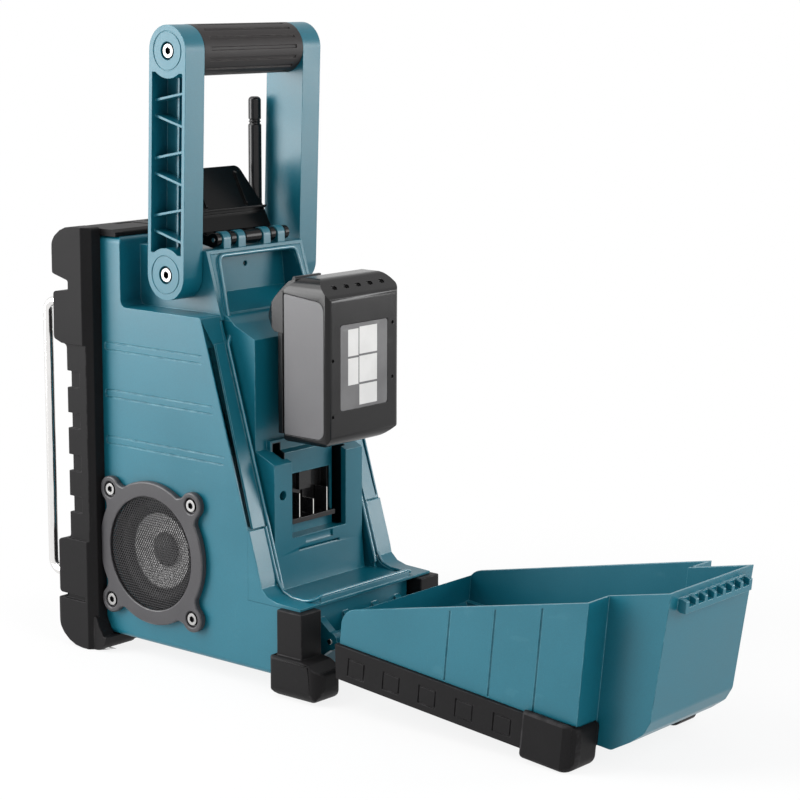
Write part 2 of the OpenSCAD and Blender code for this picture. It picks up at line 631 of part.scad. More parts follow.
// ---------- handle ----------
arm_x0 = 48.6;
arm_x1 = 66.6;
rib_s = [34, 73, 112];
module arm_capsule(r, x0, x1) {
    for (s = [0, arm_len]) rod_x(x0, x1, r, hub_y, hub_z + s, 64);
    block([x0, hub_y - r, hub_z], [x1, hub_y + r, hub_z + arm_len]);
}
module arm_rib(s0, s1) {
    t = 0.9;
    y0 = hub_y - arm_r + 2;
    y1 = hub_y + arm_r - 2;
    slab([[y0, hub_z + s0 - t], [y1, hub_z + s1 - t], [y1, hub_z + s1 + t], [y0, hub_z + s0 + t]],
        arm_x0 + 4, arm_x1 - 3.5);
}
module handle_arm_right() {
    place() handle_pose() teal() difference() {
        union() {
            difference() {
                arm_capsule(arm_r, arm_x0, arm_x1);
                difference() {
                    block([arm_x0 + 3.2, hub_y - arm_r + 3, hub_z + 14.5],
                        [arm_x1 + 1, hub_y + arm_r - 3, hub_z + arm_len - 14.5]);
                    for (s = [0, arm_len]) rod_x(arm_x0, arm_x1 + 2, arm_r + 1, hub_y, hub_z + s, 64);
                    block([arm_x0, hub_y - 0.9, hub_z], [arm_x0 + 7, hub_y + 0.9, hub_z + arm_len]);
                }
            }
            for (s = rib_s) {
                arm_rib(s + 5, s + 12);
                arm_rib(s - 5, s - 12);
            }
        }
        rod_x(arm_x0 - 1, 62.1, 7.55, hub_y, hub_z);
        rod_x(62, arm_x1 + 1, 3.2, hub_y, hub_z);
        rod_x(arm_x0 - 1, arm_x1 + 1, 3.2, hub_y, hub_z + arm_len);
        for (s = [0, arm_len]) {
            rod_x(arm_x1 - 3.4, arm_x1 + 1, 6.2, hub_y, hub_z + s);
            difference() {
                rod_x(arm_x1 - 0.5, arm_x1 + 1, 13.4, hub_y, hub_z + s, 64);
                rod_x(arm_x1 - 1, arm_x1 + 2, 12.6, hub_y, hub_z + s, 64);
            }
        }
        rod_x(arm_x0 - 1, arm_x0 + 2, 9.1, hub_y, hub_z + arm_len);
    }
}
module handle_arm_left() {
    left_side() handle_arm_right();
}
module handle_grip() {
    place() handle_pose() rubber() translate([0, hub_y, hub_z + arm_len]) rotate([0, 90, 0]) difference() {
        translate([0, 0, -48.5]) cylinder(r = grip_r, h = 97, $fn = 96);
        translate([0, 0, -50]) cylinder(r = 9, h = 100, $fn = 48);
        for (a = [0:24:336]) rotate(a) translate([grip_r - 0.9, -1.1, -42]) cube([2, 2.2, 84]);
    }
}
module handle_tube() {
    place() handle_pose() steel() difference() {
        rod_x(-50.5, 50.5, 9, hub_y, hub_z + arm_len);
        rod_x(-52, 52, 3, hub_y, hub_z + arm_len);
    }
}
module handle_screws() {
    place() handle_pose() steel() both_sides() for (s = [0, 1]) difference() {
        union() {
            rod_x(s == 0 ? 44 : 40, arm_x1 - 3.2, 2.95, hub_y, hub_z + s * arm_len, 32);
            rod_x(arm_x1 - 3.3, arm_x1 - 0.5, 4.7, hub_y, hub_z + s * arm_len, 48);
        }
        rod_x(arm_x1 - 2.6, arm_x1 + 1, 2.6, hub_y, hub_z + s * arm_len, 6);
    }
}
module handle_bushes() {
    place() color([0.8, 0.7, 0.45]) both_sides() difference() {
        rod_x(42, 61.8, 7.5, hub_y, hub_z);
        rod_x(41, 63, 3, hub_y, hub_z);
    }
}

// ---------- antenna ----------
module antenna_base() {
    place() black() difference() {
        union() {
            rod_z(neck_top - 8, neck_top + 1, 4.9, antenna_x, antenna_y);
            for (x = [-4.8, 2.6]) block([antenna_x + x, antenna_y - 3.4, neck_top], [antenna_x + x + 2.2, antenna_y + 3.4, neck_top + 9]);
            rod_z(neck_top, neck_top + 2, 5.4, antenna_x, antenna_y);
        }
        rod_x(antenna_x - 6, antenna_x + 6, 1.05, antenna_y, neck_top + 6);
    }
}
module antenna() {
    r = antenna_d / 2;
    place() black() translate([antenna_x, antenna_y, 0]) {
        rod_x(-4.8, 4.8, 1, 0, neck_top + 6, 24);
        intersection() {
            union() {
                rod_x(-2.3, 2.3, 3.2, 0, neck_top + 6);
                block([-2.3, -3.2, neck_top + 6], [2.3, 3.2, neck_top + 12]);
            }
            rod_z(neck_top, neck_top + 13, 3.9, 0, 0);
        }
        rotate_extrude($fn = 48) polygon([[0, neck_top + 11], [r, neck_top + 11], [r, antenna_top - 20],
            [r - 0.9, antenna_top - 19], [r - 0.9, antenna_top - 18.2], [r - 0.2, antenna_top - 17.6],
            [r - 0.9, antenna_top - 17], [r - 0.9, antenna_top - 16.2], [r - 0.2, antenna_top - 15.6],
            [r - 0.2, antenna_top - 2.2], [r - 0.9, antenna_top - 0.8], [r - 2.2, antenna_top],
            [0, antenna_top]]);
    }
}

// ---------- latch plate ----------
latch_gap = 3.6;
module latch_plate() {
    place() latch_pose() black() translate([0, latch_y, latch_z]) difference() {
        union() {
            intersection() {
                slab([[3, 9.8], [14, 10], [latch_len, 10], [latch_len, 12.6], [10, 12.6], [3, 12.2]], -40, 40);
                plan(rounded([[-36, 2], [36, 2], [36, 26], [26, latch_len], [-26, latch_len], [-36, 26]],
                    [0, 0, 4, 6, 6, 4]), 0, 20);
            }
            slab([[21.8, 10.2], [21.8, 4.2], [23, 3.4], [25, 10.2]], -32.6, 32.6);
            for (x = latch_lugs) intersection() {
                slab(rounded([[-5, -5], [4.8, -5], [4.8, 3.8], [9, 8], [10, 12.6], [3, 12.6], [-4.6, 3]],
                    [4.8, 4.7, 0, 0, 2, 3, 2], 6),
                    x[0], x[1]);
            }
            for (x = [-20, 20]) slab([[26, 10.2], [latch_len - 4, 10.2], [latch_len - 6, 8.6], [28, 8.6]], x - 1, x + 1);
        }
        rod_x(-40, 40, 1.55, 0, 0);
    }
}
latch_lugs = [[-35.8, -31.8], [-22.2, -17.3], [-7.7, 7.7], [17.3, 22.2], [31.8, 35.8]];
module latch_hinge_pin() {
    place() steel() rod_x(-35.6, 35.6, 1.5, latch_y, latch_z, 32);
}

// ---------- battery door (drawn closed, then opened) ----------
function rim_y(z) = rake_y(z) + door_gap;
door_main = rounded([[rim_y(65), 65], [strip_y0, 65], [door_rear, 75], [door_rear, 256], [rim_y(256), 256]],
    [13, 0, 3, 0, 0]);
door_main_in = [[rim_y(60) - 30, 67.4], [strip_y0 - 2, 67.4], [door_rear - door_wall, 77],
    [door_rear - door_wall, 256 - door_wall], [rim_y(256) - 30, 256 - door_wall]];
door_upper = rounded([[rim_y(252), 252], [door_rear, 252], [door_rear, 268], [222, 281], [214, 290],
    [205, 294.2], [rim_y(door_top), door_top]], [0, 0, 5, 6, 6, 8, 0]);
door_upper_in = [[rim_y(250) - 30, 250], [door_rear - door_wall, 250], [door_rear - door_wall, 267],
    [219.8, 279.6], [212.3, 287.8], [204, 291.6], [rim_y(door_top) - 30, door_top + 1.4 - door_wall]];
module door_tray() {
    inner_x = cab_x - door_wall;
    place() door_pose() teal() difference() {
        union() {
            slab(door_main, -cab_x, cab_x);
            slab(door_upper, -door_end_x, door_end_x);
            for (x = [-28, 28]) door_arm(x);
            door_lip();
        }
        difference() {
            slab(door_main_in, -inner_x, inner_x);
            both_sides() block([64 - door_wall, strip_y0 - 2.4, 60], [70, 240, 260]);
        }
        slab(door_upper_in, -door_end_x + door_wall, door_end_x - door_wall);
        both_sides() {
            block([64, strip_y0, 60], [cab_x + 1, 240, 257]);
            for (z = [153, 188, 223]) block([cab_x - 0.8, rim_y(z) + 2.4, z - 0.6], [cab_x + 1, strip_y0 - 1, z + 0.6]);
        }
        for (x = [-30:10:30]) block([x - 3.4, lip_y - 1, door_top + 0.8], [x + 3.4, lip_y + 4.6, door_top + 6.6]);
        rod_x(-60, 60, 2.05, hinge_y, hinge_z);
    }
}
module door_arm(x) {
    slab([[hinge_y - 4, hinge_z], [hinge_y + 5.6, hinge_z], [door_rear, 50], [door_rear, 80], [hinge_y - 1.2, 80],
        [hinge_y - 1.2, 52]], x - 7.7, x + 7.7);
    rod_x(x - 7.7, x + 7.7, 5.6, hinge_y, hinge_z);
}
// Hooked lip on the door's end that the latch plate catches, with seven slots
module door_lip() {
    slab([[lip_y, door_top - 2], [lip_y + 6, door_top - 2], [lip_y + 8.5, door_top + 1.2], [lip_y + 8.5, door_top + 5.6],
        [lip_y + 1, door_top + 5.6], [lip_y, door_top + 3]], -37, 37);
}
strip_side = [[strip_y0 + 0.1, 63], [strip_y1, 66], [strip_y1, strip_top], [strip_y0 + 0.1, strip_top]];
square_z = [82.5, 112.3, 142.3, 172.2, 202.4];
module door_strip_right() {
    place() door_pose() rubber() difference() {
        slab(strip_side, 50, 70.2);
        block([40, 200, 60], [64.1, door_rear + 0.1, 260]);
        for (z = square_z) difference() {
            block([69.4, 222.8, z - 7.2], [71, 235, z + 7.2]);
            block([69, 223.8, z - 6.2], [72, 234, z + 6.2]);
        }
    }
}
module door_strip_left() {
    left_side() door_strip_right();
}
module door_foot_right() {
    place() door_pose() rubber() difference() {
        intersection() {
            slab(rounded([[213.6, strip_top + 0.2], [door_foot_y, strip_top + 0.2], [door_foot_y, door_foot_z],
                [213.6, door_foot_z]], [0, 3, door_foot_r, 5], 10), 40, 72.6);
            face([[46.4, 210], [72.6, 210], [72.6, door_foot_z - 9], [70.4, door_foot_z - 3.6],
                [65, door_foot_z + 1], [46.4, door_foot_z + 1]], 200, 260);
        }
        block([30, 200, 200], [64.1, door_rear + 0.1, 256.1]);
        block([30, 200, 200], [cab_x + 0.1, strip_y0 + 0.1, 256.1]);
    }
}
module door_foot_left() {
    left_side() door_foot_right();
}

// ---------- terminals ----------
module terminal_block() {
    place() black() difference() {
        union() {
            block([-22, 161.6, 103.6], [22, 165, 137.4]);
            block([-22, 164.9, 103.6], [22, 177, 107]);
            block([-22, 165, 107], [-19.6, 170.8, 137.4]);
            block([19.6, 165, 107], [22, 170.8, 137.4]);
            block([-6, 165, 124], [6, 168.6, 137.4]);
        }
        for (x = [-14, 0, 14]) block([x - 1, 162.9, 107.1], [x + 1, 166, 124.3]);
    }
}
module terminal_blades() {
    place() color([0.75, 0.65, 0.4]) for (x = [-14, 0, 14])
        block([x - 0.4, 163, 107.2], [x + 0.4, 176.4, abs(x) > 1 ? 124 : 118]);
}

// ---------- battery ----------
bat_x = battery_w / 2;
battery_panel = [[batt_y0 + 1.3, battery_z + 5.6], [batt_y1 - 4.3, battery_z + 5.6],
    [batt_y1 - 4.3, battery_z + battery_h - 15], [batt_y0 + 1.3, battery_z + battery_h - 11.5]];
module battery_case() {
    z0 = battery_z;
    z1 = battery_z + battery_h;
    place() black() difference() {
        intersection() {
            slab(rounded([[batt_y0, z0], [batt_y1, z0], [batt_y1, z1 - 12], [batt_y1 - 13, z1], [196, z1],
                [batt_y0, z1 - 9]], [3, 8, 7, 7, 4, 1]), -bat_x, bat_x);
            plan(rounded(box_pts(-bat_x, batt_y0, bat_x, batt_y1), [1.5, 1.5, 4, 6]), z0, z1);
            face(rounded([[-bat_x + 18, z0], [bat_x, z0], [bat_x, z1], [-bat_x, z1], [-bat_x, z0 + 8]],
                [10, 5, 10, 10, 5]), 180, 230);
        }
        difference() {
            block([-bat_x + 2, batt_y0 + 2, z0 + 2], [bat_x - 2, batt_y1 - 2, z1 - 2]);
            slab([[batt_y0, z1 - 12], [200, z1], [batt_y0, z1]], -bat_x, bat_x);
            slab([[batt_y1, z1 - 17], [batt_y1, z1], [batt_y1 - 18.2, z1]], -bat_x, bat_x);
            slab([[batt_y1 - 9, z0], [batt_y1, z0], [batt_y1, z0 + 9]], -bat_x, bat_x);
            both_sides() plan([[bat_x - 6, batt_y1], [bat_x, batt_y1 - 6], [bat_x, batt_y1]], z0, z1);
            both_sides() face([[bat_x - 10, z1], [bat_x, z1 - 10], [bat_x, z1]], 180, 230);
            face([[-bat_x, z0], [-bat_x + 25, z0], [-bat_x, z0 + 11]], 180, 230);
        }
        both_sides() slab(rounded(inset(battery_panel, -0.3), [1.5, 6, 7, 1.5]), bat_x - 0.8, bat_x + 1);
        for (i = [0:4]) translate([-24 + i * 12, batt_y1 - 6.5, z1 - 6]) rotate([-42.7, 0, 0])
            linear_extrude(3, center = true) polygon(rounded(box_pts(-2.7, -1.7, 2.7, 1.7), 1.5, 3));
        for (p = [[32.4, 59], [32.4, 21], [-28.4, 78.5], [-28.4, 41]])
            rod_y(batt_y1 - 1.6, batt_y1 + 1, 1.2, p.x, z0 + p.y, 24);
        block([-23, batt_y1 - 0.5, z0 + 24], [25, batt_y1 + 1, z0 + 82]);
    }
}
// Head with the release button, and the rails that slide into the bay
module battery_head() {
    z1 = battery_z + battery_h;
    z0 = z1 - 41;
    y1 = batt_y0 - 0.1;
    place() black() difference() {
        union() {
            intersection() {
                slab([[y1, z0 + 2], [174.5, z0 + 3], [head_y0, z0 + 11], [head_y0, z1 - 27], [176, z1 - 13],
                    [y1, z1 - 9.4]], -bat_x + 0.6, bat_x - 0.6);
                plan([[-bat_x + 5, head_y0], [bat_x - 5, head_y0], [bat_x - 0.6, head_y0 + 7], [bat_x - 0.6, y1],
                    [-bat_x + 0.6, y1], [-bat_x + 0.6, head_y0 + 7]], z0, z1);
            }
            slab([[head_y0 + 0.6, z0 + 12], [y1, z0 + 12], [y1, z1 - 3], [176, z1 - 5], [head_y0 + 0.6, z1 - 14]], -24, 24);
            block([-26.8, 172.6, battery_z + 4], [26.8, y1, z0 + 8]);
            block([-31, 172.6, battery_z + 4], [31, 176.8, z0 + 6]);
        }
        block([-23, 171, battery_z + 3], [23, 178.5, battery_z + 34]);
        block([-13.4, head_y0 - 1, z1 - 26], [13.4, head_y0 + 11, z1 + 1]);
    }
}
module battery_side_panels() {
    place() color([0.27, 0.27, 0.28]) both_sides()
        slab(rounded(battery_panel, [1.2, 5.7, 6.7, 1.2]), bat_x - 0.75, bat_x);
}
module battery_label() {
    place() color([0.9, 0.9, 0.9]) face(rounded(box_pts(-22.8, battery_z + 24.2, 24.8, battery_z + 81.8), 2),
        batt_y1 - 0.45, batt_y1 - 0.05);
}
module battery_cells() {
    place() color([0.2, 0.45, 0.35]) for (i = [0:4], j = [0, 1])
        rod_x(-32, 32, 8.9, batt_y0 + 11.4 + j * 18.1, battery_z + 18 + i * 18.2, 48);
}
module battery_release() {
    z1 = battery_z + battery_h;
    place() color([0.22, 0.22, 0.23]) slab([[head_y0 + 2, z1 - 25.6], [head_y0 + 7.4, z1 - 25.6],
        [head_y0 + 7.4, z1 - 3.4], [head_y0 + 5, z1 - 3.4], [head_y0 + 2, z1 - 9]], -13, 13);
}

cabinet();
battery_bay();
rear_sill();
door_hinge_pin();
front_panel();
display_window();
display_module();
circuit_boards();
bumper_right();
bumper_left();
bumper_top();
bumper_bottom();
guard_rods();
speaker_ring_right();
speaker_ring_left();
speaker_mesh_right();
speaker_mesh_left();
speaker_basket_right();
speaker_basket_left();
speaker_cone_right();
speaker_cone_left();
speaker_magnets();
speaker_screws();
rear_foot_right();
rear_foot_left();
terminal_block();
terminal_blades();
jack_sockets();
knob_encoder();
panel_screws();
handle_bushes();
latch_hinge_pin();
antenna_base();
antenna();
tuning_knob();
jack_cap();
preset_1();
preset_2();
preset_3();
preset_4();
preset_5();
power_button();
mode_button();
handle_arm_right();
handle_arm_left();
handle_grip();
handle_tube();
handle_screws();
latch_plate();
door_tray();
door_strip_right();
door_strip_left();
door_foot_right();
door_foot_left();
battery_case();
battery_head();
battery_side_panels();
battery_label();
battery_cells();
battery_release();
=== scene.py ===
"""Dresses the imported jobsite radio: rounded shells, perforated grilles, finishes and a studio stage."""
import json
import math

import bmesh
import bpy
from bpy.props import FloatProperty, FloatVectorProperty, PointerProperty
from mathutils import Matrix, Vector


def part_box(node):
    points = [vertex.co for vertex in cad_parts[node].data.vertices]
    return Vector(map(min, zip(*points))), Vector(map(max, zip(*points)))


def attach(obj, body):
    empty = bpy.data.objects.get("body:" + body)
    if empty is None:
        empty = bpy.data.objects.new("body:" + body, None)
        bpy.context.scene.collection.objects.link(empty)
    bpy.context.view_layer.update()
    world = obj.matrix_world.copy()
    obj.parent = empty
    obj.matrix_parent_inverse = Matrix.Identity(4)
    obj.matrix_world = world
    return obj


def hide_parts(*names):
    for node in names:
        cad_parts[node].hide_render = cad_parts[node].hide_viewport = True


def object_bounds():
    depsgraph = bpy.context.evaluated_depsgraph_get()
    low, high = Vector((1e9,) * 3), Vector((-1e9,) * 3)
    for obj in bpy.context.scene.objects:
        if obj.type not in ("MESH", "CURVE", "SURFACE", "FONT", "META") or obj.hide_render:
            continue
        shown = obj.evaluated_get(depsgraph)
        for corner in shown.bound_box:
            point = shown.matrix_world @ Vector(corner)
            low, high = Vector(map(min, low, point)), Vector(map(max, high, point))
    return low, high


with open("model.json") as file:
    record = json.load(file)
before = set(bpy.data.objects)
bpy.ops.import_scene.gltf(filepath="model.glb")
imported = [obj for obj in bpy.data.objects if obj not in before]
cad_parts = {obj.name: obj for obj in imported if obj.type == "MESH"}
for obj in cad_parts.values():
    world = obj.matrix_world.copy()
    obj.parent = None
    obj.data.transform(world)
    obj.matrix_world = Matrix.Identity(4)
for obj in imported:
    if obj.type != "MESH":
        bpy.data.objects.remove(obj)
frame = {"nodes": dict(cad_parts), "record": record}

bl_info = {
    "name": "Jobsite Radio",
    "version": (1, 0, 0),
    "blender": (4, 5, 0),
    "location": "View3D > Sidebar > Radio",
    "description": "Rounds the radio's shells, perforates its grilles and gives every piece its finish",
    "category": "Object",
}

CAD_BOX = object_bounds()
NODES = frame["nodes"]
RECORD = frame["record"]
BODY_OF = {n: body for body, nodes in RECORD["behaviour"]["bodies"].items() for n in nodes}
SLOT_OF = {s["node"]: s["material_slot"] for s in RECORD["subparts"]}
MM = 0.001
SPEAKER_LOW, SPEAKER_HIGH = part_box("speaker_mesh_right")

# Teal plastic where an edge is rubbed pale and painted with highlight
TEAL_RIM = (0.09, 0.28, 0.34)
# The bay's measures are in mm from the cabinet's own front; this carries their Y into the frame
BAY_Y = CAD_BOX[0][1] + 14.5 * MM
# Lean of the raked face that carries the bay, and the place of its shoulder in Y and Z, in mm
LEAN = math.radians(16.9)
SHOULDER = (135.4, 247.6)
# Edges that turn more than this are rounded
SHARP_ANGLE = math.radians(30.0)
# Hexagonal lattice: distance of its rows and radius of a hexagon's corners, as shares of the pitch
HEX_ROW = 0.866
HEX_CORNER = 0.5774
# The grille's sheet stands this far inside the face of the mesh that it replaces, in m
SHEET_INSET = 0.0002
# Lamps: name, place, width in m and power in W
LAMPS = (
    ("Key", (1.0, -0.9, 1.5), 1.3, 19.0),
    ("Rear soft box", (0.1, 1.6, 1.2), 1.2, 11.0),
    ("Top", (0.1, 0.1, 1.9), 1.2, 4.0),
    ("Side panel", (1.2, -1.2, 0.5), 0.95, 24.0),
    ("Rim panel", (-1.1, 1.05, 0.45), 0.6, 11.0),
)
LAMP_TARGET = Vector((0.0, 0.0, 0.15))
# Shift of the lens that centres the radio as the view needs it
LENS_SHIFT = (-0.008312, -0.000203)
# The floor lies just under the feet and fades to white between these distances from the middle, in m
FLOOR_RADIUS = 9.0
FLOOR_DROP = 0.0004
FLOOR_FADE = (0.28, 0.55)
# White fields of the label, as shares of its width and height: left, right, bottom, top
LABEL_FIELDS = (
    (0.22, 0.60, 0.635, 0.955),
    (0.22, 0.60, 0.30, 0.61),
    (0.22, 0.60, 0.035, 0.275),
    (0.62, 0.84, 0.625, 0.94),
    (0.62, 0.84, 0.285, 0.60),
)


# ---------------------------------------------------------------- settings

def colour(name, text, value):
    """A colour that the panel shows."""
    return FloatVectorProperty(name=name, description=text, subtype="COLOR", size=3, min=0.0, max=1.0,
                               default=value)


def length(name, text, value, low=0.0, high=0.05):
    """A length that the panel shows, in metres."""
    return FloatProperty(name=name, description=text, unit="LENGTH", subtype="DISTANCE", precision=5,
                         default=value, min=low, max=high)


class RadioFinishes(bpy.types.PropertyGroup):
    """Colours of the radio's materials"""
    shell: colour("Shell", "Moulded teal plastic of the cabinet, the handle and the door",
                  (0.0035, 0.125, 0.178))
    rubber: colour("Rubber", "Bumpers, feet and strips", (0.0090, 0.0085, 0.0090))
    grip: colour("Grip", "Ribbed sleeve of the handle", (0.021, 0.0185, 0.0185))
    black: colour("Black plastic", "Battery shell, front panel and knob", (0.0085, 0.0080, 0.0086))
    ring: colour("Ring", "Rubber rings round the speakers", (0.047, 0.045, 0.049))
    side_film: colour("Battery side", "Plain film on the sides of the battery", (0.085, 0.083, 0.088))
    label: colour("Label", "Plain rating label of the battery", (0.72, 0.71, 0.70))
    steel: colour("Steel", "Screws, pins and guard rods", (0.83, 0.82, 0.81))


class RadioSizes(bpy.types.PropertyGroup):
    """Sizes of the detail that is added to the shells"""
    hole_pitch: length("Grille pitch", "Distance between the holes of the speaker grille",
                       0.0020, 0.001, 0.004)
    hole_share: FloatProperty(name="Hole share", description="Width of a hole as a share of the pitch",
                              subtype="FACTOR", default=0.80, min=0.3, max=0.9)
    grille_thickness: length("Grille thickness", "Thickness of the grille's steel sheet",
                             0.0006, 0.0002, 0.002)
    bead: length("Seal bead", "Radius of the bead along the lower edge of the bay", 0.0011, 0.0004, 0.003)
    rim_bead: length("Rim bead", "Radius of the bead round the upper recess", 0.0014, 0.0004, 0.003)


class RadioStage(bpy.types.PropertyGroup):
    """Camera and light"""
    eye: FloatVectorProperty(name="Eye", description="Place of the camera", subtype="TRANSLATION",
                             unit="LENGTH", size=3, precision=5, default=(1.1612616, 0.9837015, 0.4774537))
    azimuth: FloatProperty(name="Azimuth", description="Turn of the view about the upright axis",
                           subtype="ANGLE", default=math.radians(129.87144))
    pitch: FloatProperty(name="Pitch", description="Downward tilt of the view", subtype="ANGLE",
                         default=math.radians(10.47669))
    roll: FloatProperty(name="Roll", description="Turn of the view about its own axis", subtype="ANGLE",
                        default=math.radians(0.25508))
    focal: FloatProperty(name="Focal length", description="For a 36 mm wide sensor", unit="CAMERA",
                         default=104.4201, min=20.0, max=300.0)
    ambient: FloatProperty(name="Ambient", description="Strength of the light from all round", default=0.30,
                           min=0.0, max=2.0)


# ---------------------------------------------------------------- shader groups

def new_group(name, inputs, outputs):
    """An empty shader group of numbers; returns the tree, its input node and its output node."""
    tree = bpy.data.node_groups.new(name, "ShaderNodeTree")
    for label, value in inputs:
        socket = tree.interface.new_socket(name=label, in_out="INPUT", socket_type="NodeSocketFloat")
        socket.default_value = value
    for label in outputs:
        tree.interface.new_socket(name=label, in_out="OUTPUT", socket_type="NodeSocketFloat")
    return tree, tree.nodes.new("NodeGroupInput"), tree.nodes.new("NodeGroupOutput")


def feed(tree, socket, value):
    """Sets an input to a number or links it to a socket."""
    if isinstance(value, (int, float)):
        socket.default_value = value
    else:
        tree.links.new(value, socket)


def maths(tree, operation, a, b=None, clamp=False):
    """The result of a sum; a and b are numbers or sockets."""
    node = tree.nodes.new("ShaderNodeMath")
    node.operation = operation
    node.use_clamp = clamp
    for socket, value in zip(node.inputs, (a, b)):
        if value is not None:
            feed(tree, socket, value)
    return node.outputs[0]


def times(tree, a, b):
    return maths(tree, "MULTIPLY", a, b)


def plus(tree, a, b, clamp=False):
    return maths(tree, "ADD", a, b, clamp)


def spread(tree, value, low, high, out_low=0.0, out_high=1.0):
    """A value's soft step from low to high, mapped to the given outputs."""
    node = tree.nodes.new("ShaderNodeMapRange")
    node.interpolation_type = "SMOOTHSTEP"
    tree.links.new(value, node.inputs["Value"])
    for label, number in (("From Min", low), ("From Max", high), ("To Min", out_low), ("To Max", out_high)):
        feed(tree, node.inputs[label], number)
    return node.outputs["Result"]


def noise(tree, vector, scale, detail=2.0, rough=0.5):
    """Fractal noise between 0 and 1."""
    node = tree.nodes.new("ShaderNodeTexNoise")
    tree.links.new(vector, node.inputs["Vector"])
    for label, number in (("Scale", scale), ("Detail", detail), ("Roughness", rough)):
        feed(tree, node.inputs[label], number)
    return node.outputs["Fac"]


def object_place(tree):
    """Position in the object's own space, which is the frame's."""
    return tree.nodes.new("ShaderNodeTexCoord").outputs["Object"]


def surface_normal(tree):
    return tree.nodes.new("ShaderNodeNewGeometry").outputs["Normal"]


def split_axes(tree, vector):
    """The X, Y and Z of a vector."""
    split = tree.nodes.new("ShaderNodeSeparateXYZ")
    tree.links.new(vector, split.inputs[0])
    return split.outputs


def seen_rays(tree):
    """1 for rays that show a surface, straight, mirrored or through glass; 0 for its light on others."""
    path = tree.nodes.new("ShaderNodeLightPath")
    mirrored = maths(tree, "MAXIMUM", path.outputs["Is Glossy Ray"], path.outputs["Is Transmission Ray"])
    return maths(tree, "MAXIMUM", path.outputs["Is Camera Ray"], mirrored)


def build_grain():
    """Pebbled skin of a spark-eroded mould: height, and a mask of its valleys, which the plastics darken as
    painted shade.
    """
    tree, given, made = new_group("Moulded grain", [("Scale", 900.0)], ["Height", "Valleys"])
    place = object_place(tree)
    cells = tree.nodes.new("ShaderNodeTexVoronoi")
    cells.feature = "SMOOTH_F1"
    cells.inputs["Smoothness"].default_value = 0.6
    tree.links.new(place, cells.inputs["Vector"])
    tree.links.new(given.outputs["Scale"], cells.inputs["Scale"])
    fine = noise(tree, place, times(tree, given.outputs["Scale"], 2.3), 3.0)
    height = plus(tree, times(tree, cells.outputs["Distance"], 0.7), times(tree, fine, 0.45))
    tree.links.new(height, made.inputs["Height"])
    tree.links.new(spread(tree, height, 0.35, 0.75), made.inputs["Valleys"])
    return tree


def build_mottle():
    """Broad, soft change of tone, as from handling and slight flow marks in the moulding."""
    tree, given, made = new_group("Soft mottle", [("Scale", 14.0)], ["Mask"])
    place = object_place(tree)
    broad = noise(tree, place, given.outputs["Scale"], 4.0, 0.6)
    tree.links.new(spread(tree, broad, 0.3, 0.7), made.inputs["Mask"])
    return tree


def build_scuffs():
    """Hair-fine rub marks in two directions."""
    tree, given, made = new_group("Rub marks", [("Scale", 60.0), ("Amount", 0.5)], ["Mask"])
    place = object_place(tree)
    marks = []
    for turn, stretch in (((0.3, 0.5, 0.9), (1.0, 22.0, 1.6)), ((1.1, 0.2, 0.4), (26.0, 1.0, 2.0))):
        mapping = tree.nodes.new("ShaderNodeMapping")
        mapping.inputs["Rotation"].default_value = turn
        mapping.inputs["Scale"].default_value = stretch
        tree.links.new(place, mapping.inputs["Vector"])
        streak = noise(tree, mapping.outputs["Vector"], given.outputs["Scale"], 2.0, 0.4)
        marks.append(spread(tree, streak, 0.66, 0.74))
    both = maths(tree, "MAXIMUM", marks[0], marks[1])
    patch = spread(tree, noise(tree, place, 9.0, 2.0), 0.45, 0.65)
    tree.links.new(times(tree, times(tree, both, patch), given.outputs["Amount"]), made.inputs["Mask"])
    return tree


def build_edge_mask():
    """Rim paled by wear and by painted highlight: the rounded edges of a shell, broken up by noise."""
    tree, given, made = new_group("Edge rub", [("Amount", 0.5)], ["Mask"])
    rim = tree.nodes.new("ShaderNodeAttribute")
    rim.attribute_name = "rim"
    place = object_place(tree)
    broken = spread(tree, noise(tree, place, 130.0, 4.0, 0.65), 0.35, 0.68)
    wear_and_highlight = times(tree, rim.outputs["Fac"], broken)
    tree.links.new(times(tree, wear_and_highlight, given.outputs["Amount"]), made.inputs["Mask"])
    return tree


GROUP_MAKERS = {"grain": build_grain, "mottle": build_mottle, "scuffs": build_scuffs, "edge": build_edge_mask}
GROUPS = {}


def add_group(tree, key, **values):
    """Puts a shader group into a material; the group is built on first use."""
    if key not in GROUPS:
        GROUPS[key] = GROUP_MAKERS[key]()
    node = tree.nodes.new("ShaderNodeGroup")
    node.node_tree = GROUPS[key]
    for label, value in values.items():
        node.inputs[label].default_value = value
    return node


def mask_of(tree, key, **values):
    return add_group(tree, key, **values).outputs["Mask"]


def blend_colour(tree, mask, a, b):
    """Colour a where the mask is 0, colour b where it is 1."""
    node = tree.nodes.new("ShaderNodeMix")
    node.data_type = "RGBA"
    for socket, value in ((node.inputs[0], mask), (node.inputs[6], a), (node.inputs[7], b)):
        if isinstance(value, (int, float)):
            socket.default_value = value
        elif isinstance(value, bpy.types.NodeSocket):
            tree.links.new(value, socket)
        else:
            socket.default_value = (*value[:3], 1.0)
    return node.outputs[2]


def shade(value, factor):
    """A colour made lighter or darker."""
    return tuple(min(1.0, c * factor) for c in value[:3])


def base_material(name):
    """A new material; returns it, its tree and its main shader."""
    material = bpy.data.materials.new(name)
    material.use_nodes = True
    tree = material.node_tree
    return material, tree, tree.nodes["Principled BSDF"]


def dress(tree, shader, base, gloss):
    """Gives a shader its colour and roughness."""
    tree.links.new(base, shader.inputs["Base Color"])
    tree.links.new(gloss, shader.inputs["Roughness"])


def bump(tree, shader, height, distance, strength=1.0):
    """Lets a height disturb the shader's normal."""
    node = tree.nodes.new("ShaderNodeBump")
    node.inputs["Strength"].default_value = strength
    node.inputs["Distance"].default_value = distance
    tree.links.new(height, node.inputs["Height"])
    tree.links.new(node.outputs["Normal"], shader.inputs["Normal"])


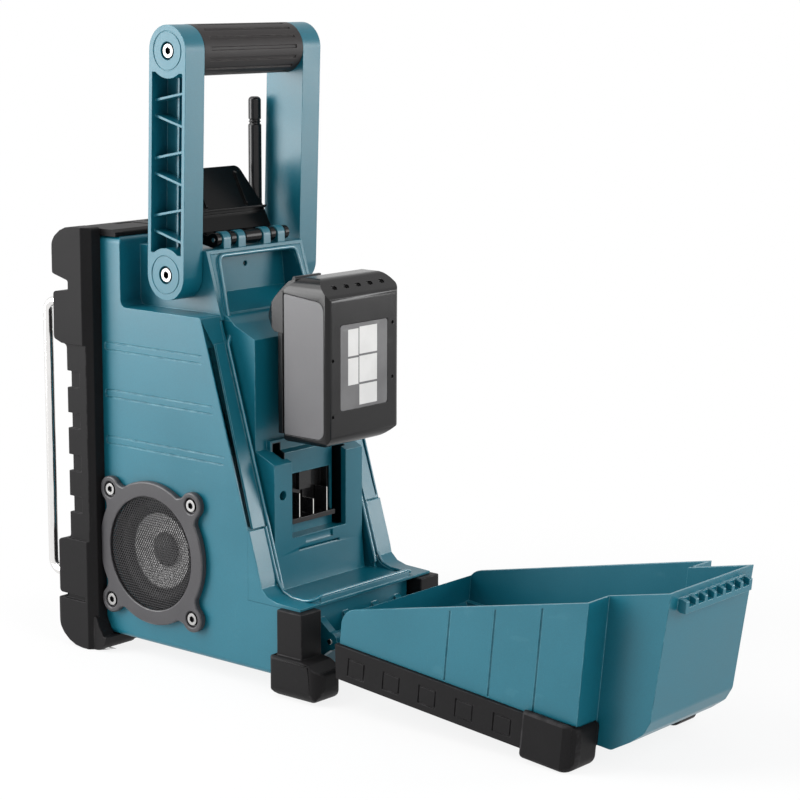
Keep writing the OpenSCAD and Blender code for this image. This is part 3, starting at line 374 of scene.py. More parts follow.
def plastic(name, tone, rough, grain, depth, mottle, scuffs, edge, specular=0.5, coat=0.0, edge_tone=None):
    """Moulded plastic or rubber: mottled tone, edges paled by wear and painted highlight, pebbled bump and
    uneven gloss.
    """
    material, tree, shader = base_material(name)
    skin = add_group(tree, "grain", Scale=grain)
    broad = mask_of(tree, "mottle", Scale=13.0)
    rubbed = mask_of(tree, "scuffs", Scale=55.0, Amount=scuffs)
    rim = mask_of(tree, "edge", Amount=edge)
    base = blend_colour(tree, broad, shade(tone, 1.0 - mottle), shade(tone, 1.0 + mottle))
    # Painted shade: the grain's valleys are darkened.
    base = blend_colour(tree, times(tree, skin.outputs["Valleys"], 0.18), base, shade(tone, 0.6))
    pale = edge_tone or tuple(c * 0.75 + 0.06 for c in tone[:3])
    # Wear and painted highlight: the rounded edges are paled towards the edge tone.
    base = blend_colour(tree, rim, base, pale)
    base = blend_colour(tree, times(tree, rubbed, 0.35), base, pale)
    gloss = plus(tree, times(tree, broad, 0.07), rough - 0.035)
    gloss = plus(tree, gloss, times(tree, rubbed, 0.18))
    gloss = maths(tree, "SUBTRACT", gloss, times(tree, rim, 0.1), clamp=True)
    dress(tree, shader, base, gloss)
    bump(tree, shader, skin.outputs["Height"], depth, 0.6)
    shader.inputs["Specular IOR Level"].default_value = specular
    if coat:
        shader.inputs["Coat Weight"].default_value = coat
        shader.inputs["Coat Roughness"].default_value = 0.12
    return material


def metal(name, tone, rough, brushed, grime, axis=(1.0, 1.0, 1.0)):
    """Bare or plated metal with drawn streaks, fingerprints and darker grime in patches."""
    material, tree, shader = base_material(name)
    broad = mask_of(tree, "mottle", Scale=70.0)
    rubbed = mask_of(tree, "scuffs", Scale=120.0, Amount=0.6)
    base = blend_colour(tree, times(tree, broad, grime), tone, shade(tone, 0.62))
    shader.inputs["Metallic"].default_value = 1.0
    mapping = tree.nodes.new("ShaderNodeMapping")
    mapping.inputs["Scale"].default_value = axis
    tree.links.new(object_place(tree), mapping.inputs["Vector"])
    streak = noise(tree, mapping.outputs["Vector"], 420.0, 2.0)
    gloss = plus(tree, times(tree, broad, 0.08), rough - 0.02)
    gloss = plus(tree, gloss, times(tree, rubbed, 0.12))
    gloss = plus(tree, gloss, times(tree, streak, brushed), clamp=True)
    dress(tree, shader, base, gloss)
    bump(tree, shader, streak, 0.00001, 0.35)
    return material


def display_glass():
    """Clear window of the display with faint rub marks."""
    tone = (0.62, 0.68, 0.68)
    material, tree, shader = base_material("Display window")
    broad = mask_of(tree, "mottle", Scale=30.0)
    rubbed = mask_of(tree, "scuffs", Scale=90.0, Amount=0.5)
    base = blend_colour(tree, times(tree, broad, 0.1), tone, shade(tone, 0.85))
    dress(tree, shader, base, plus(tree, times(tree, rubbed, 0.2), 0.03))
    shader.inputs["Transmission Weight"].default_value = 0.9
    shader.inputs["IOR"].default_value = 1.49
    return material


# Moulded finishes: name, colour or one of RadioFinishes, factor on it, roughness, scale and depth of
# the grain, mottle, scuffs, edges paled by wear and painted highlight, specular level, coat, tone of those
# edges
PLASTICS = {
    "teal_plastic": ("Teal moulded plastic", "shell", 1.0, 0.36, 1300.0, 0.000012, 0.05, 0.18, 0.55, 0.5,
        0.0, TEAL_RIM),
    "bay_plastic": ("Bay moulded plastic", "shell", 1.0, 0.34, 1300.0, 0.000012, 0.05, 0.18, 0.55, 0.38,
        0.0, TEAL_RIM),
    # The bead's tone is the shell's, lifted by a quarter as painted highlight.
    "bead": ("Seal bead", "shell", 1.25, 0.2, 1300.0, 0.000006, 0.05, 0.1, 0.0, 0.7, 0.3),
    "bumper_rubber": ("Bumper rubber", "rubber", 1.0, 0.5, 700.0, 0.00004, 0.12, 0.3, 0.5, 0.12, 0.0,
        (0.045, 0.043, 0.045)),
    "ring_rubber": ("Speaker ring rubber", "ring", 1.0, 0.42, 900.0, 0.00002, 0.08, 0.25, 0.5, 0.4, 0.0,
        (0.12, 0.118, 0.122)),
    "grip_rubber": ("Grip rubber", "grip", 1.0, 0.5, 600.0, 0.00005, 0.15, 0.2, 0.5, 0.25, 0.0,
        (0.06, 0.055, 0.053)),
    "black_plastic": ("Black satin plastic", "black", 0.8, 0.24, 1500.0, 0.00001, 0.1, 0.35, 0.6, 0.35, 0.0,
        (0.04, 0.04, 0.042)),
    "battery_plastic": ("Battery shell plastic", "black", 0.7, 0.2, 1500.0, 0.000006, 0.1, 0.3, 0.6, 0.3,
        0.0, (0.03, 0.03, 0.032)),
    "latch_plastic": ("Latch plastic", "black", 0.25, 0.22, 1500.0, 0.000006, 0.1, 0.2, 0.6, 0.14, 0.0,
        (0.02, 0.02, 0.021)),
    "antenna_rubber": ("Antenna sheath", "black", 0.7, 0.24, 1200.0, 0.00001, 0.1, 0.3, 0.5, 0.3, 0.1),
    "grey_plastic": ("Dark grey plastic", (0.035, 0.034, 0.036), 1.0, 0.36, 1400.0, 0.00001, 0.08, 0.3,
        0.5),
    "side_film": ("Battery side film", "side_film", 1.0, 0.32, 2600.0, 0.000004, 0.06, 0.35, 0.3, 0.5, 0.1),
    "display_backing": ("Liquid crystal panel", (0.2, 0.26, 0.17), 1.0, 0.3, 4000.0, 0.000002, 0.04, 0.1,
        0.0),
    "mesh_steel": ("Grille lacquer", (0.024, 0.023, 0.025), 1.0, 0.3, 1500.0, 0.000004, 0.1, 0.2, 0.0),
    "basket_metal": ("Basket lacquer", (0.02, 0.02, 0.021), 1.0, 0.35, 900.0, 0.00001, 0.1, 0.2, 0.4),
    "magnet_iron": ("Ferrite", (0.035, 0.034, 0.035), 1.0, 0.55, 1600.0, 0.00003, 0.2, 0.2, 0.4),
    "bush_plastic": ("Bearing plastic", (0.5, 0.45, 0.34), 1.0, 0.4, 900.0, 0.00001, 0.06, 0.3, 0.2),
    "cell_cans": ("Cell sleeve", (0.05, 0.2, 0.14), 1.0, 0.25, 800.0, 0.000004, 0.05, 0.3, 0.3),
}


def moulded(key):
    """A plastic of the table."""
    name, tone, share, *settings = PLASTICS[key]
    if isinstance(tone, str):
        tone = getattr(bpy.context.scene.radio_finishes, tone)
    return plastic(name, shade(tone, share), *settings)


def bright_steel():
    """Polished steel, drawn along the upright axis."""
    return metal("Polished steel", bpy.context.scene.radio_finishes.steel, 0.13, 0.05, 0.16, (1.0, 1.0, 0.04))


def tube_aluminium():
    """Aluminium tube, drawn along the handle."""
    return metal("Drawn aluminium", (0.68, 0.69, 0.7), 0.3, 0.15, 0.2, (0.04, 1.0, 1.0))


def label_film():
    """Film of the rating label: plain white fields on grey, with nothing written on them."""
    tone = bpy.context.scene.radio_finishes.label
    material, tree, shader = base_material("Rating label film")
    across, _, upward = split_axes(tree, object_place(tree))
    low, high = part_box("battery_label")
    u = maths(tree, "DIVIDE", maths(tree, "SUBTRACT", across, low[0]), high[0] - low[0])
    v = maths(tree, "DIVIDE", maths(tree, "SUBTRACT", upward, low[2]), high[2] - low[2])
    field = None
    for left, right, bottom, top in LABEL_FIELDS:
        wide = times(tree, maths(tree, "GREATER_THAN", u, left), maths(tree, "LESS_THAN", u, right))
        tall = times(tree, maths(tree, "GREATER_THAN", v, bottom), maths(tree, "LESS_THAN", v, top))
        box_mask = times(tree, wide, tall)
        field = box_mask if field is None else maths(tree, "MAXIMUM", field, box_mask)
    broad = mask_of(tree, "mottle", Scale=60.0)
    white = blend_colour(tree, broad, shade(tone, 0.93), tone)
    grey = blend_colour(tree, broad, (0.105, 0.103, 0.106), (0.125, 0.123, 0.126))
    rubbed = mask_of(tree, "scuffs", Scale=80.0, Amount=0.5)
    base = blend_colour(tree, field, grey, white)
    base = blend_colour(tree, times(tree, rubbed, 0.3), base, (0.4, 0.4, 0.4))
    dress(tree, shader, base, plus(tree, times(tree, broad, 0.08), 0.28))
    return material


def repaint_where(material, mask, tone, over):
    """Mixes the material's colour with a tone by a mask; over puts the old colour where the mask is 1."""
    tree = material.node_tree
    shader = tree.nodes["Principled BSDF"]
    plain = shader.inputs["Base Color"].links[0].from_socket
    pair = (tone, plain) if over else (plain, tone)
    tree.links.new(blend_colour(tree, mask, *pair), shader.inputs["Base Color"])
    return shader


def contact_blades():
    """Blades with a plated front edge; their sides, which face across, are painted near black as shade and
    are not metallic.
    """
    material = metal("Plated contacts", (0.80, 0.79, 0.76), 0.2, 0.05, 0.15)
    tree = material.node_tree
    sideways = maths(tree, "ABSOLUTE", split_axes(tree, surface_normal(tree))["X"])
    flat = spread(tree, sideways, 0.6, 0.8, 1.0, 0.0)
    # Painted shade: the faces that look across are darkened to near black.
    shader = repaint_where(material, flat, (0.012, 0.012, 0.013), True)
    tree.links.new(flat, shader.inputs["Metallic"])
    return material


def inside(tree, place, low, high):
    """Mask of a box: 1 inside it, 0 outside. The place is three sockets."""
    soft = 0.0004
    mask = None
    for value, a, b in zip(place, low, high):
        within = times(tree, spread(tree, value, a - soft, a), spread(tree, value, b, b + soft, 1.0, 0.0))
        mask = within if mask is None else times(tree, mask, within)
    return mask


def bay_plastic():
    """The shell's plastic, with painted shade in the two deep slots beside the contacts."""
    material = moulded("bay_plastic")
    tree = material.node_tree
    across, along, upward = split_axes(tree, object_place(tree))
    either_side = (maths(tree, "ABSOLUTE", across), along, upward)
    slot_shade = inside(tree, either_side, (0.0242, 0.10 + BAY_Y, 0.0955), (0.0322, 0.1768 + BAY_Y, 0.1605))
    # Painted shade: the deep slots are darkened to near black.
    repaint_where(material, slot_shade, (0.0008, 0.006, 0.009), False)
    return material


def screw_heads(node):
    """Bright screw heads whose sockets and flanks are painted dark as shade."""
    material = metal("Socket heads " + node, (0.40, 0.395, 0.39), 0.34, 0.05, 0.3)
    tree = material.node_tree
    facing = maths(tree, "ABSOLUTE", split_axes(tree, surface_normal(tree))["X"])
    reach = maths(tree, "ABSOLUTE", split_axes(tree, object_place(tree))["X"])
    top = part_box(node)[1][0]
    unshaded_top = times(tree, spread(tree, facing, 0.5, 0.75), spread(tree, reach, top - 0.0009, top - 0.0007))
    # Painted shade: everything but the head's top face is darkened.
    repaint_where(material, unshaded_top, (0.012, 0.012, 0.013), True)
    return material


def circuit_board():
    """Solder mask with copper tracks under it."""
    material, tree, shader = base_material("Circuit board")
    bricks = tree.nodes.new("ShaderNodeTexBrick")
    bricks.inputs["Scale"].default_value = 160.0
    bricks.inputs["Mortar Size"].default_value = 0.06
    bricks.inputs["Color1"].default_value = (0.012, 0.09, 0.035, 1.0)
    bricks.inputs["Color2"].default_value = (0.014, 0.1, 0.045, 1.0)
    bricks.inputs["Mortar"].default_value = (0.05, 0.19, 0.08, 1.0)
    mapping = tree.nodes.new("ShaderNodeMapping")
    mapping.inputs["Rotation"].default_value = (math.pi / 2, 0.0, 0.0)
    tree.links.new(object_place(tree), mapping.inputs["Vector"])
    tree.links.new(mapping.outputs["Vector"], bricks.inputs["Vector"])
    rubbed = mask_of(tree, "scuffs", Scale=70.0, Amount=0.4)
    dress(tree, shader, bricks.outputs["Color"], plus(tree, times(tree, rubbed, 0.2), 0.25))
    return material


def cone_card():
    """Pressed paper cone: fibres and concentric pressing rings about the speaker's axis."""
    material, tree, shader = base_material("Pressed cone")
    place = object_place(tree)
    centre = [(a + b) / 2 for a, b in zip(SPEAKER_LOW, SPEAKER_HIGH)]
    mapping = tree.nodes.new("ShaderNodeMapping")
    mapping.inputs["Location"].default_value = (0.0, -centre[1], -centre[2])
    mapping.inputs["Scale"].default_value = (0.0, 1.0, 1.0)
    tree.links.new(place, mapping.inputs["Vector"])
    reach = tree.nodes.new("ShaderNodeVectorMath")
    reach.operation = "LENGTH"
    tree.links.new(mapping.outputs["Vector"], reach.inputs[0])
    radius = reach.outputs["Value"]
    ring = maths(tree, "SINE", times(tree, radius, 5200.0))
    surround = spread(tree, radius, 0.0262, 0.0272)
    cap = spread(tree, radius, 0.0122, 0.0128, 1.0, 0.0)
    fibre = noise(tree, place, 900.0, 4.0, 0.7)
    base = blend_colour(tree, fibre, (0.62, 0.61, 0.61), (0.78, 0.77, 0.77))
    base = blend_colour(tree, surround, base, (0.010, 0.010, 0.011))
    base = blend_colour(tree, cap, base, (0.09, 0.088, 0.09))
    dress(tree, shader, base, plus(tree, times(tree, fibre, 0.2), 0.4))
    bump(tree, shader, plus(tree, times(tree, ring, 0.3), fibre), 0.00005)
    return material


# Finishes with a maker of their own; all others are rows of PLASTICS
MAKERS = {
    "bay_plastic": bay_plastic,
    "label_film": label_film,
    "display_glass": display_glass,
    "circuit_board": circuit_board,
    "bright_steel": bright_steel,
    "tube_aluminium": tube_aluminium,
    "cone_card": cone_card,
    "contact_brass": contact_blades,
    "speaker_screws": lambda: screw_heads("speaker_screws"),
    "handle_screws": lambda: screw_heads("handle_screws"),
}
MATERIALS = {}


def finish(key):
    """The material of a record slot or of a finish named here, built on first use."""
    if key not in MATERIALS:
        MATERIALS[key] = MAKERS[key]() if key in MAKERS else moulded(key)
    return MATERIALS[key]


# ---------------------------------------------------------------- shells

def new_piece(name, mesh, slot, body, replaced=(), material=None):
    """Links a finished mesh into the scene, on its body and with its slot's finish or the one given."""
    piece = bpy.data.objects.new(name, mesh)
    bpy.context.scene.collection.objects.link(piece)
    mesh.materials.clear()
    mesh.materials.append(material or finish(slot))
    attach(piece, body)
    if replaced:
        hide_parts(*replaced)


def evaluated_copy(source):
    """The mesh of an object with its modifiers applied."""
    graph = bpy.context.evaluated_depsgraph_get()
    return bpy.data.meshes.new_from_object(source.evaluated_get(graph), preserve_all_data_layers=True,
                                           depsgraph=graph)


def mark_rims(mesh, rim_index):
    """Turns the faces that the rounding made into the attribute that the edge wear and painted highlight
    read.
    """
    rim = mesh.attributes.new("rim", "FLOAT", "FACE")
    values = [1.0 if p.material_index == rim_index else 0.0 for p in mesh.polygons]
    rim.data.foreach_set("value", values)
    mesh.polygons.foreach_set("material_index", [0] * len(mesh.polygons))


def welded(node):
    """A bmesh of a frame node's triangles, welded and with its flat faces joined."""
    shell = bmesh.new()
    shell.from_mesh(NODES[node].data)
    bmesh.ops.remove_doubles(shell, verts=shell.verts, dist=2e-6)
    bmesh.ops.dissolve_limit(shell, angle_limit=math.radians(0.5), use_dissolve_boundaries=False,
                             verts=shell.verts, edges=shell.edges)
    return shell


def weigh_edges(shell, seam):
    """Gives full bevel weight to the sharp edges that don't lie on a seam between two pieces."""
    weight = shell.edges.layers.float.new("bevel_weight_edge")
    for edge in shell.edges:
        angle = edge.calc_face_angle(0.0)
        middle = (edge.verts[0].co + edge.verts[1].co) / 2
        edge[weight] = 1.0 if angle > SHARP_ANGLE and not (seam and seam(middle)) else 0.0


def rounded_shell(node, radius, segments=2, material=None, seam=None):
    """A copy of a frame node with its sharp edges rounded over, which stands for the node."""
    name = node + "_shell"
    shell = welded(node)
    weigh_edges(shell, seam)
    mesh = bpy.data.meshes.new(name)
    shell.to_mesh(mesh)
    shell.free()
    mesh.materials.clear()
    mesh.materials.append(None)
    mesh.materials.append(None)
    mesh.polygons.foreach_set("material_index", [0] * len(mesh.polygons))
    draft = bpy.data.objects.new("draft", mesh)
    bpy.context.scene.collection.objects.link(draft)
    if radius:
        bevel = draft.modifiers.new("Rounding", "BEVEL")
        bevel.width = radius
        bevel.segments = segments
        bevel.limit_method = "WEIGHT"
        bevel.use_clamp_overlap = False
        bevel.material = 1
        bevel.miter_outer = "MITER_ARC"
    for polygon in mesh.polygons:
        polygon.use_smooth = True
    mesh.set_sharp_from_angle(angle=math.radians(50.0 if radius else 25.0))
    even = draft.modifiers.new("Even normals", "WEIGHTED_NORMAL")
    even.keep_sharp = True
    even.weight = 80
    final = evaluated_copy(draft)
    bpy.data.objects.remove(draft)
    mark_rims(final, 1)
    final.name = name
    new_piece(name, final, SLOT_OF[node], BODY_OF[node], (node,), material)


def repaint(node):
    """A frame node whose shape is right keeps it and takes its finish."""
    NODES[node].data.materials.clear()
    NODES[node].data.materials.append(finish(SLOT_OF[node]))

# ---------------------------------------------------------------- grille by geometry nodes

def pattern_tree(name, values):
    """An empty geometry tree with the named values and a material; returns it, its input and its output."""
    tree = bpy.data.node_groups.new(name, "GeometryNodeTree")
    tree.is_modifier = True
    face = tree.interface
    face.new_socket(name="Geometry", in_out="INPUT", socket_type="NodeSocketGeometry")
    for label, value in values:
        face.new_socket(name=label, in_out="INPUT", socket_type="NodeSocketFloat").default_value = value
    face.new_socket(name="Material", in_out="INPUT", socket_type="NodeSocketMaterial")
    face.new_socket(name="Geometry", in_out="OUTPUT", socket_type="NodeSocketGeometry")
    return tree, tree.nodes.new("NodeGroupInput"), tree.nodes.new("NodeGroupOutput")


def grille_tree():
    """Perforated sheet: a lattice of small frames, one round each hole, kept inside a circle."""
    tree, given, made = pattern_tree("Perforated grille", (
        ("Radius", 0.04), ("Pitch", 0.0016), ("Hole share", 0.7), ("Thickness", 0.0006)))
    pitch, sheet = given.outputs["Pitch"], given.outputs["Radius"]
    link = tree.links.new

    def node(kind, **settings):
        made_node = tree.nodes.new(kind)
        for label, value in settings.items():
            setattr(made_node, label, value)
        return made_node

    def calc(operation, a, b=None):
        return maths(tree, operation, a, b)

    rows = calc("CEIL", calc("DIVIDE", calc("MULTIPLY", sheet, 2.0), calc("MULTIPLY", pitch, HEX_ROW)))
    across = calc("CEIL", calc("DIVIDE", calc("MULTIPLY", sheet, 2.0), pitch))
    count = calc("MULTIPLY", rows, across)
    cloud = node("GeometryNodePoints")
    link(count, cloud.inputs["Count"])
    index = node("GeometryNodeInputIndex").outputs[0]
    row = calc("FLOOR", calc("DIVIDE", index, across))
    column = calc("SUBTRACT", index, calc("MULTIPLY", row, across))
    shift = calc("MULTIPLY", calc("MODULO", row, 2.0), 0.5)
    x = calc("MULTIPLY", calc("SUBTRACT", calc("ADD", column, shift), calc("MULTIPLY", across, 0.5)),
             pitch)
    y = calc("MULTIPLY", calc("SUBTRACT", row, calc("MULTIPLY", rows, 0.5)),
             calc("MULTIPLY", pitch, HEX_ROW))
    spot = node("ShaderNodeCombineXYZ")
    link(x, spot.inputs[0])
    link(y, spot.inputs[1])
    link(spot.outputs[0], cloud.inputs["Position"])
    reach = node("ShaderNodeVectorMath", operation="LENGTH")
    here = node("GeometryNodeInputPosition")
    link(here.outputs[0], reach.inputs[0])
    outside = node("FunctionNodeCompare", data_type="FLOAT", operation="GREATER_THAN")
    link(reach.outputs["Value"], outside.inputs["A"])
    link(calc("SUBTRACT", sheet, calc("MULTIPLY", pitch, 0.6)),
         outside.inputs["B"])
    trim = node("GeometryNodeDeleteGeometry", domain="POINT")
    link(cloud.outputs[0], trim.inputs["Geometry"])
    link(outside.outputs[0], trim.inputs["Selection"])
    corner = calc("MULTIPLY", pitch, HEX_CORNER)
    both = node("GeometryNodeJoinGeometry")
    for radius in (corner, calc("MULTIPLY", corner, given.outputs["Hole share"])):
        curve = node("GeometryNodeCurvePrimitiveCircle", mode="RADIUS")
        curve.inputs["Resolution"].default_value = 6
        link(radius, curve.inputs["Radius"])
        link(curve.outputs[0], both.inputs[0])
    fill = node("GeometryNodeFillCurve", mode="NGONS")
    link(both.outputs[0], fill.inputs["Curve"])
    thick = node("GeometryNodeExtrudeMesh", mode="FACES")
    link(fill.outputs[0], thick.inputs["Mesh"])
    link(given.outputs["Thickness"], thick.inputs["Offset Scale"])
    thick.inputs["Individual"].default_value = False
    turn = node("GeometryNodeTransform")
    link(thick.outputs["Mesh"], turn.inputs["Geometry"])
    turn.inputs["Rotation"].default_value = (0.0, 0.0, math.radians(30.0))
    copies = node("GeometryNodeInstanceOnPoints")
    link(trim.outputs[0], copies.inputs["Points"])
    link(turn.outputs[0], copies.inputs["Instance"])
    real = node("GeometryNodeRealizeInstances")
    link(copies.outputs[0], real.inputs[0])
    paint = node("GeometryNodeSetMaterial")
    link(real.outputs[0], paint.inputs["Geometry"])
    link(given.outputs["Material"], paint.inputs["Material"])
    link(paint.outputs[0], made.inputs[0])
    return tree


def bead_tree():
    """Round bead swept along the edges of its carrier, with rounded bends."""
    tree, given, made = pattern_tree("Seal bead", (("Radius", 0.001), ("Bend", 0.004)))
    path = tree.nodes.new("GeometryNodeMeshToCurve")
    bend = tree.nodes.new("GeometryNodeFilletCurve")
    bend.mode = "POLY"
    bend.inputs["Count"].default_value = 6
    bend.inputs["Limit Radius"].default_value = True
    section = tree.nodes.new("GeometryNodeCurvePrimitiveCircle")
    section.inputs["Resolution"].default_value = 12
    sweep = tree.nodes.new("GeometryNodeCurveToMesh")
    sweep.inputs["Fill Caps"].default_value = True
    smooth = tree.nodes.new("GeometryNodeSetShadeSmooth")
    real = tree.nodes.new("GeometryNodeRealizeInstances")
    paint = tree.nodes.new("GeometryNodeSetMaterial")
    steps = (
        (given.outputs["Geometry"], path.inputs[0]),
        (path.outputs[0], bend.inputs["Curve"]),
        (given.outputs["Bend"], bend.inputs["Radius"]),
        (bend.outputs[0], sweep.inputs["Curve"]),
        (given.outputs["Radius"], section.inputs["Radius"]),
        (section.outputs[0], sweep.inputs["Profile Curve"]),
        (sweep.outputs[0], smooth.inputs[0]),
        (smooth.outputs[0], real.inputs[0]),
        (real.outputs[0], paint.inputs["Geometry"]),
        (given.outputs["Material"], paint.inputs["Material"]),
        (paint.outputs[0], made.inputs[0]),
    )
    for start, end in steps:
        tree.links.new(start, end)
    return tree


def identifiers(tree):
    """The sockets of a tree's inputs, by label."""
    return {item.name: item.identifier for item in tree.interface.items_tree if item.in_out == "INPUT"}


def nodes_mesh(tree, values, carrier=None):
    """Runs a geometry tree with the named inputs and returns the plain mesh that it makes."""
    holder = bpy.data.objects.new("carrier", carrier or bpy.data.meshes.new("carrier"))
    bpy.context.scene.collection.objects.link(holder)
    modifier = holder.modifiers.new("Pattern", "NODES")
    modifier.node_group = tree
    for label, identifier in identifiers(tree).items():
        if label in values:
            modifier[identifier] = values[label]
    holder.update_tag()
    mesh = evaluated_copy(holder)
    holder.modifiers.remove(modifier)
    bpy.data.objects.remove(holder)
    return mesh


def path_carrier(points):
    """A mesh of bare vertices, each joined to the next."""
    mesh = bpy.data.meshes.new("carrier")
    edges = [(i, i + 1) for i in range(len(points) - 1)]
    mesh.from_pydata([tuple(p) for p in points], edges, [])
    return mesh


def frame_matrix(origin, x_axis, y_axis):
    """Matrix that carries local X and Y to the given directions."""
    x_axis, y_axis = Vector(x_axis).normalized(), Vector(y_axis).normalized()
    z_axis = x_axis.cross(y_axis)
    rows = Matrix((x_axis, y_axis, z_axis)).transposed().to_4x4()
    return Matrix.Translation(origin) @ rows


# ---------------------------------------------------------------- operators

class RADIO_OT_stage(bpy.types.Operator):
    """Sets the camera, the pale floor, the lamps and the ambient light"""
    bl_idname = "radio.stage"
    bl_label = "Stage"

    def execute(self, context):
        setting = context.scene.radio_stage
        context.scene.view_settings.view_transform = "Standard"
        a, e, roll = setting.azimuth, setting.pitch, setting.roll
        ahead = Vector((-math.sin(a) * math.cos(e), math.cos(a) * math.cos(e), -math.sin(e)))
        side = Vector((math.cos(a), math.sin(a), 0.0))
        up = side.cross(ahead)
        right = side * math.cos(roll) + up * math.sin(roll)
        top = up * math.cos(roll) - side * math.sin(roll)
        lens = bpy.data.cameras.new("Camera")
        lens.sensor_width = 36.0
        lens.lens = setting.focal
        lens.shift_x, lens.shift_y = LENS_SHIFT
        lens.clip_start = 0.05
        lens.clip_end = 50.0
        camera = bpy.data.objects.new("Camera", lens)
        context.scene.collection.objects.link(camera)
        turn = Matrix((right, top, -ahead)).transposed()
        camera.matrix_world = Matrix.Translation(Vector(setting.eye)) @ turn.to_4x4()
        context.scene.camera = camera
        self.light(context, setting)
        self.floor(context)
        return {"FINISHED"}

    def light(self, context, setting):
        """White all round, which shows at full strength but lights the radio only in part, and the lamps."""
        world = bpy.data.worlds.new("Studio")
        world.use_nodes = True
        context.scene.world = world
        tree = world.node_tree
        surround = tree.nodes["Background"]
        surround.inputs["Color"].default_value = (1.0, 1.0, 1.0, 1.0)
        extra = times(tree, seen_rays(tree), 1.0 - setting.ambient)
        strength = plus(tree, extra, setting.ambient)
        tree.links.new(strength, surround.inputs["Strength"])
        for name, place, size, power in LAMPS:
            lamp = bpy.data.lights.new(name, "AREA")
            lamp.shape = "SQUARE"
            lamp.size = size
            lamp.energy = power
            holder = bpy.data.objects.new(name, lamp)
            context.scene.collection.objects.link(holder)
            turn = (LAMP_TARGET - Vector(place)).to_track_quat("-Z", "Y")
            holder.matrix_world = Matrix.Translation(Vector(place)) @ turn.to_matrix().to_4x4()

    def floor(self, context):
        """A matt floor that takes the radio's soft shadow and fades to white away from it."""
        shape = bmesh.new()
        bmesh.ops.create_circle(shape, cap_ends=True, cap_tris=False, segments=96, radius=FLOOR_RADIUS)
        for vert in shape.verts:
            vert.co.z = -FLOOR_DROP
        mesh = bpy.data.meshes.new("Floor")
        shape.to_mesh(mesh)
        shape.free()
        floor = bpy.data.objects.new("Floor", mesh)
        context.scene.collection.objects.link(floor)
        material = bpy.data.materials.new("Studio floor")
        material.use_nodes = True
        tree = material.node_tree
        tree.nodes.clear()
        out = tree.nodes.new("ShaderNodeOutputMaterial")
        matt = tree.nodes.new("ShaderNodeBsdfDiffuse")
        matt.inputs["Color"].default_value = (0.93, 0.93, 0.93, 1.0)
        bright = tree.nodes.new("ShaderNodeEmission")
        bright.inputs["Strength"].default_value = 1.0
        mix = tree.nodes.new("ShaderNodeMixShader")
        reach = tree.nodes.new("ShaderNodeVectorMath")
        reach.operation = "LENGTH"
        tree.links.new(object_place(tree), reach.inputs[0])
        fade = spread(tree, reach.outputs["Value"], *FLOOR_FADE, 0.86, 1.0)
        tree.links.new(times(tree, fade, seen_rays(tree)), mix.inputs["Fac"])
        tree.links.new(matt.outputs[0], mix.inputs[1])
        tree.links.new(bright.outputs[0], mix.inputs[2])
        tree.links.new(mix.outputs[0], out.inputs["Surface"])
        mesh.materials.append(material)


class ShellOperator:
    """Rounds the edges of a list of frame nodes, each given with its radius in mm"""
    shells = ()

    def execute(self, context):
        for node, radius in self.shells:
            rounded_shell(node, radius * MM, 2 if radius < 1.0 else 4)
        return {"FINISHED"}


class RADIO_OT_cabinet(bpy.types.Operator):
    """Rounds the cabinet, the battery bay and the sill, whose shared seam stays closed"""
    bl_idname = "radio.cabinet"
    bl_label = "Cabinet"

    def execute(self, context):
        low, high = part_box("rear_sill")
        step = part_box("rear_foot_right")[1][2]

        def seam(point):
            at_side = abs(point.x) > high[0] - 0.0005
            upright = abs(point.y - low[1]) < 0.0012 and point.z < high[2] + 0.0006
            level = abs(point.z - step) < 0.0012 and point.y > low[1] - 0.001
            return at_side and (upright or level)

        rounded_shell("cabinet", 0.35 * MM, seam=seam)
        rounded_shell("rear_sill", 0.4 * MM, seam=seam)
        rounded_shell("battery_bay", 0.35 * MM, material=finish("bay_plastic"),
                      seam=lambda point: abs(point.x) < 0.0215 and 0.085 < point.z < 0.0955)
        return {"FINISHED"}


class RADIO_OT_bead(bpy.types.Operator):
    """Lays the seal beads round the recess and along the lower edge of the battery bay"""
    bl_idname = "radio.bead"
    bl_label = "Seal beads"

    def execute(self, context):
        sizes = context.scene.radio_sizes
        side = ((179.4, 108.0), (186.4, 85.0), (190.6, 72.6), (195.4, 65.6), (203.4, 62.9), (214.0, 62.4),
                (222.6, 63.6))
        lower = [(51.6, y, z) for y, z in side] + [(44.0, 223.4, 66.0)]
        rise = 0.9
        upper = [(x, SHOULDER[0] + rise * math.cos(LEAN) - t * math.sin(LEAN),
                  SHOULDER[1] + rise * math.sin(LEAN) + t * math.cos(LEAN))
                 for x, t in ((48.15, -186.0), (48.15, -20.5), (42.8, -13.6), (38.35, 40.0))]
        tree = bead_tree()
        for name, half, radius in (("seal_bead", lower, sizes.bead), ("rim_bead", upper, sizes.rim_bead)):
            path = half + [(-px, py, pz) for px, py, pz in reversed(half)]
            carrier = path_carrier([(px * MM, py * MM + BAY_Y, pz * MM) for px, py, pz in path])
            mesh = nodes_mesh(tree, {"Radius": radius, "Bend": 0.005, "Material": finish("bead")}, carrier)
            if not len(mesh.polygons):
                raise RuntimeError("a bead came out empty")
            new_piece(name, mesh, "teal_plastic", "housing", (), finish("bead"))
        return {"FINISHED"}


class RADIO_OT_bumpers(ShellOperator, bpy.types.Operator):
    """Rounds the rubber bumpers and feet"""
    bl_idname = "radio.bumpers"
    bl_label = "Bumpers and feet"
    shells = (("bumper_right", 0.5), ("bumper_left", 0.5), ("bumper_top", 0.0), ("bumper_bottom", 0.5),
              ("rear_foot_right", 0.9), ("rear_foot_left", 0.9))


class RADIO_OT_door(ShellOperator, bpy.types.Operator):
    """Rounds the battery door with its strips and feet"""
    bl_idname = "radio.door"
    bl_label = "Battery door"
    shells = (("door_tray", 0.35), ("door_strip_right", 0.3), ("door_strip_left", 0.3),
              ("door_foot_right", 2.2), ("door_foot_left", 2.2))


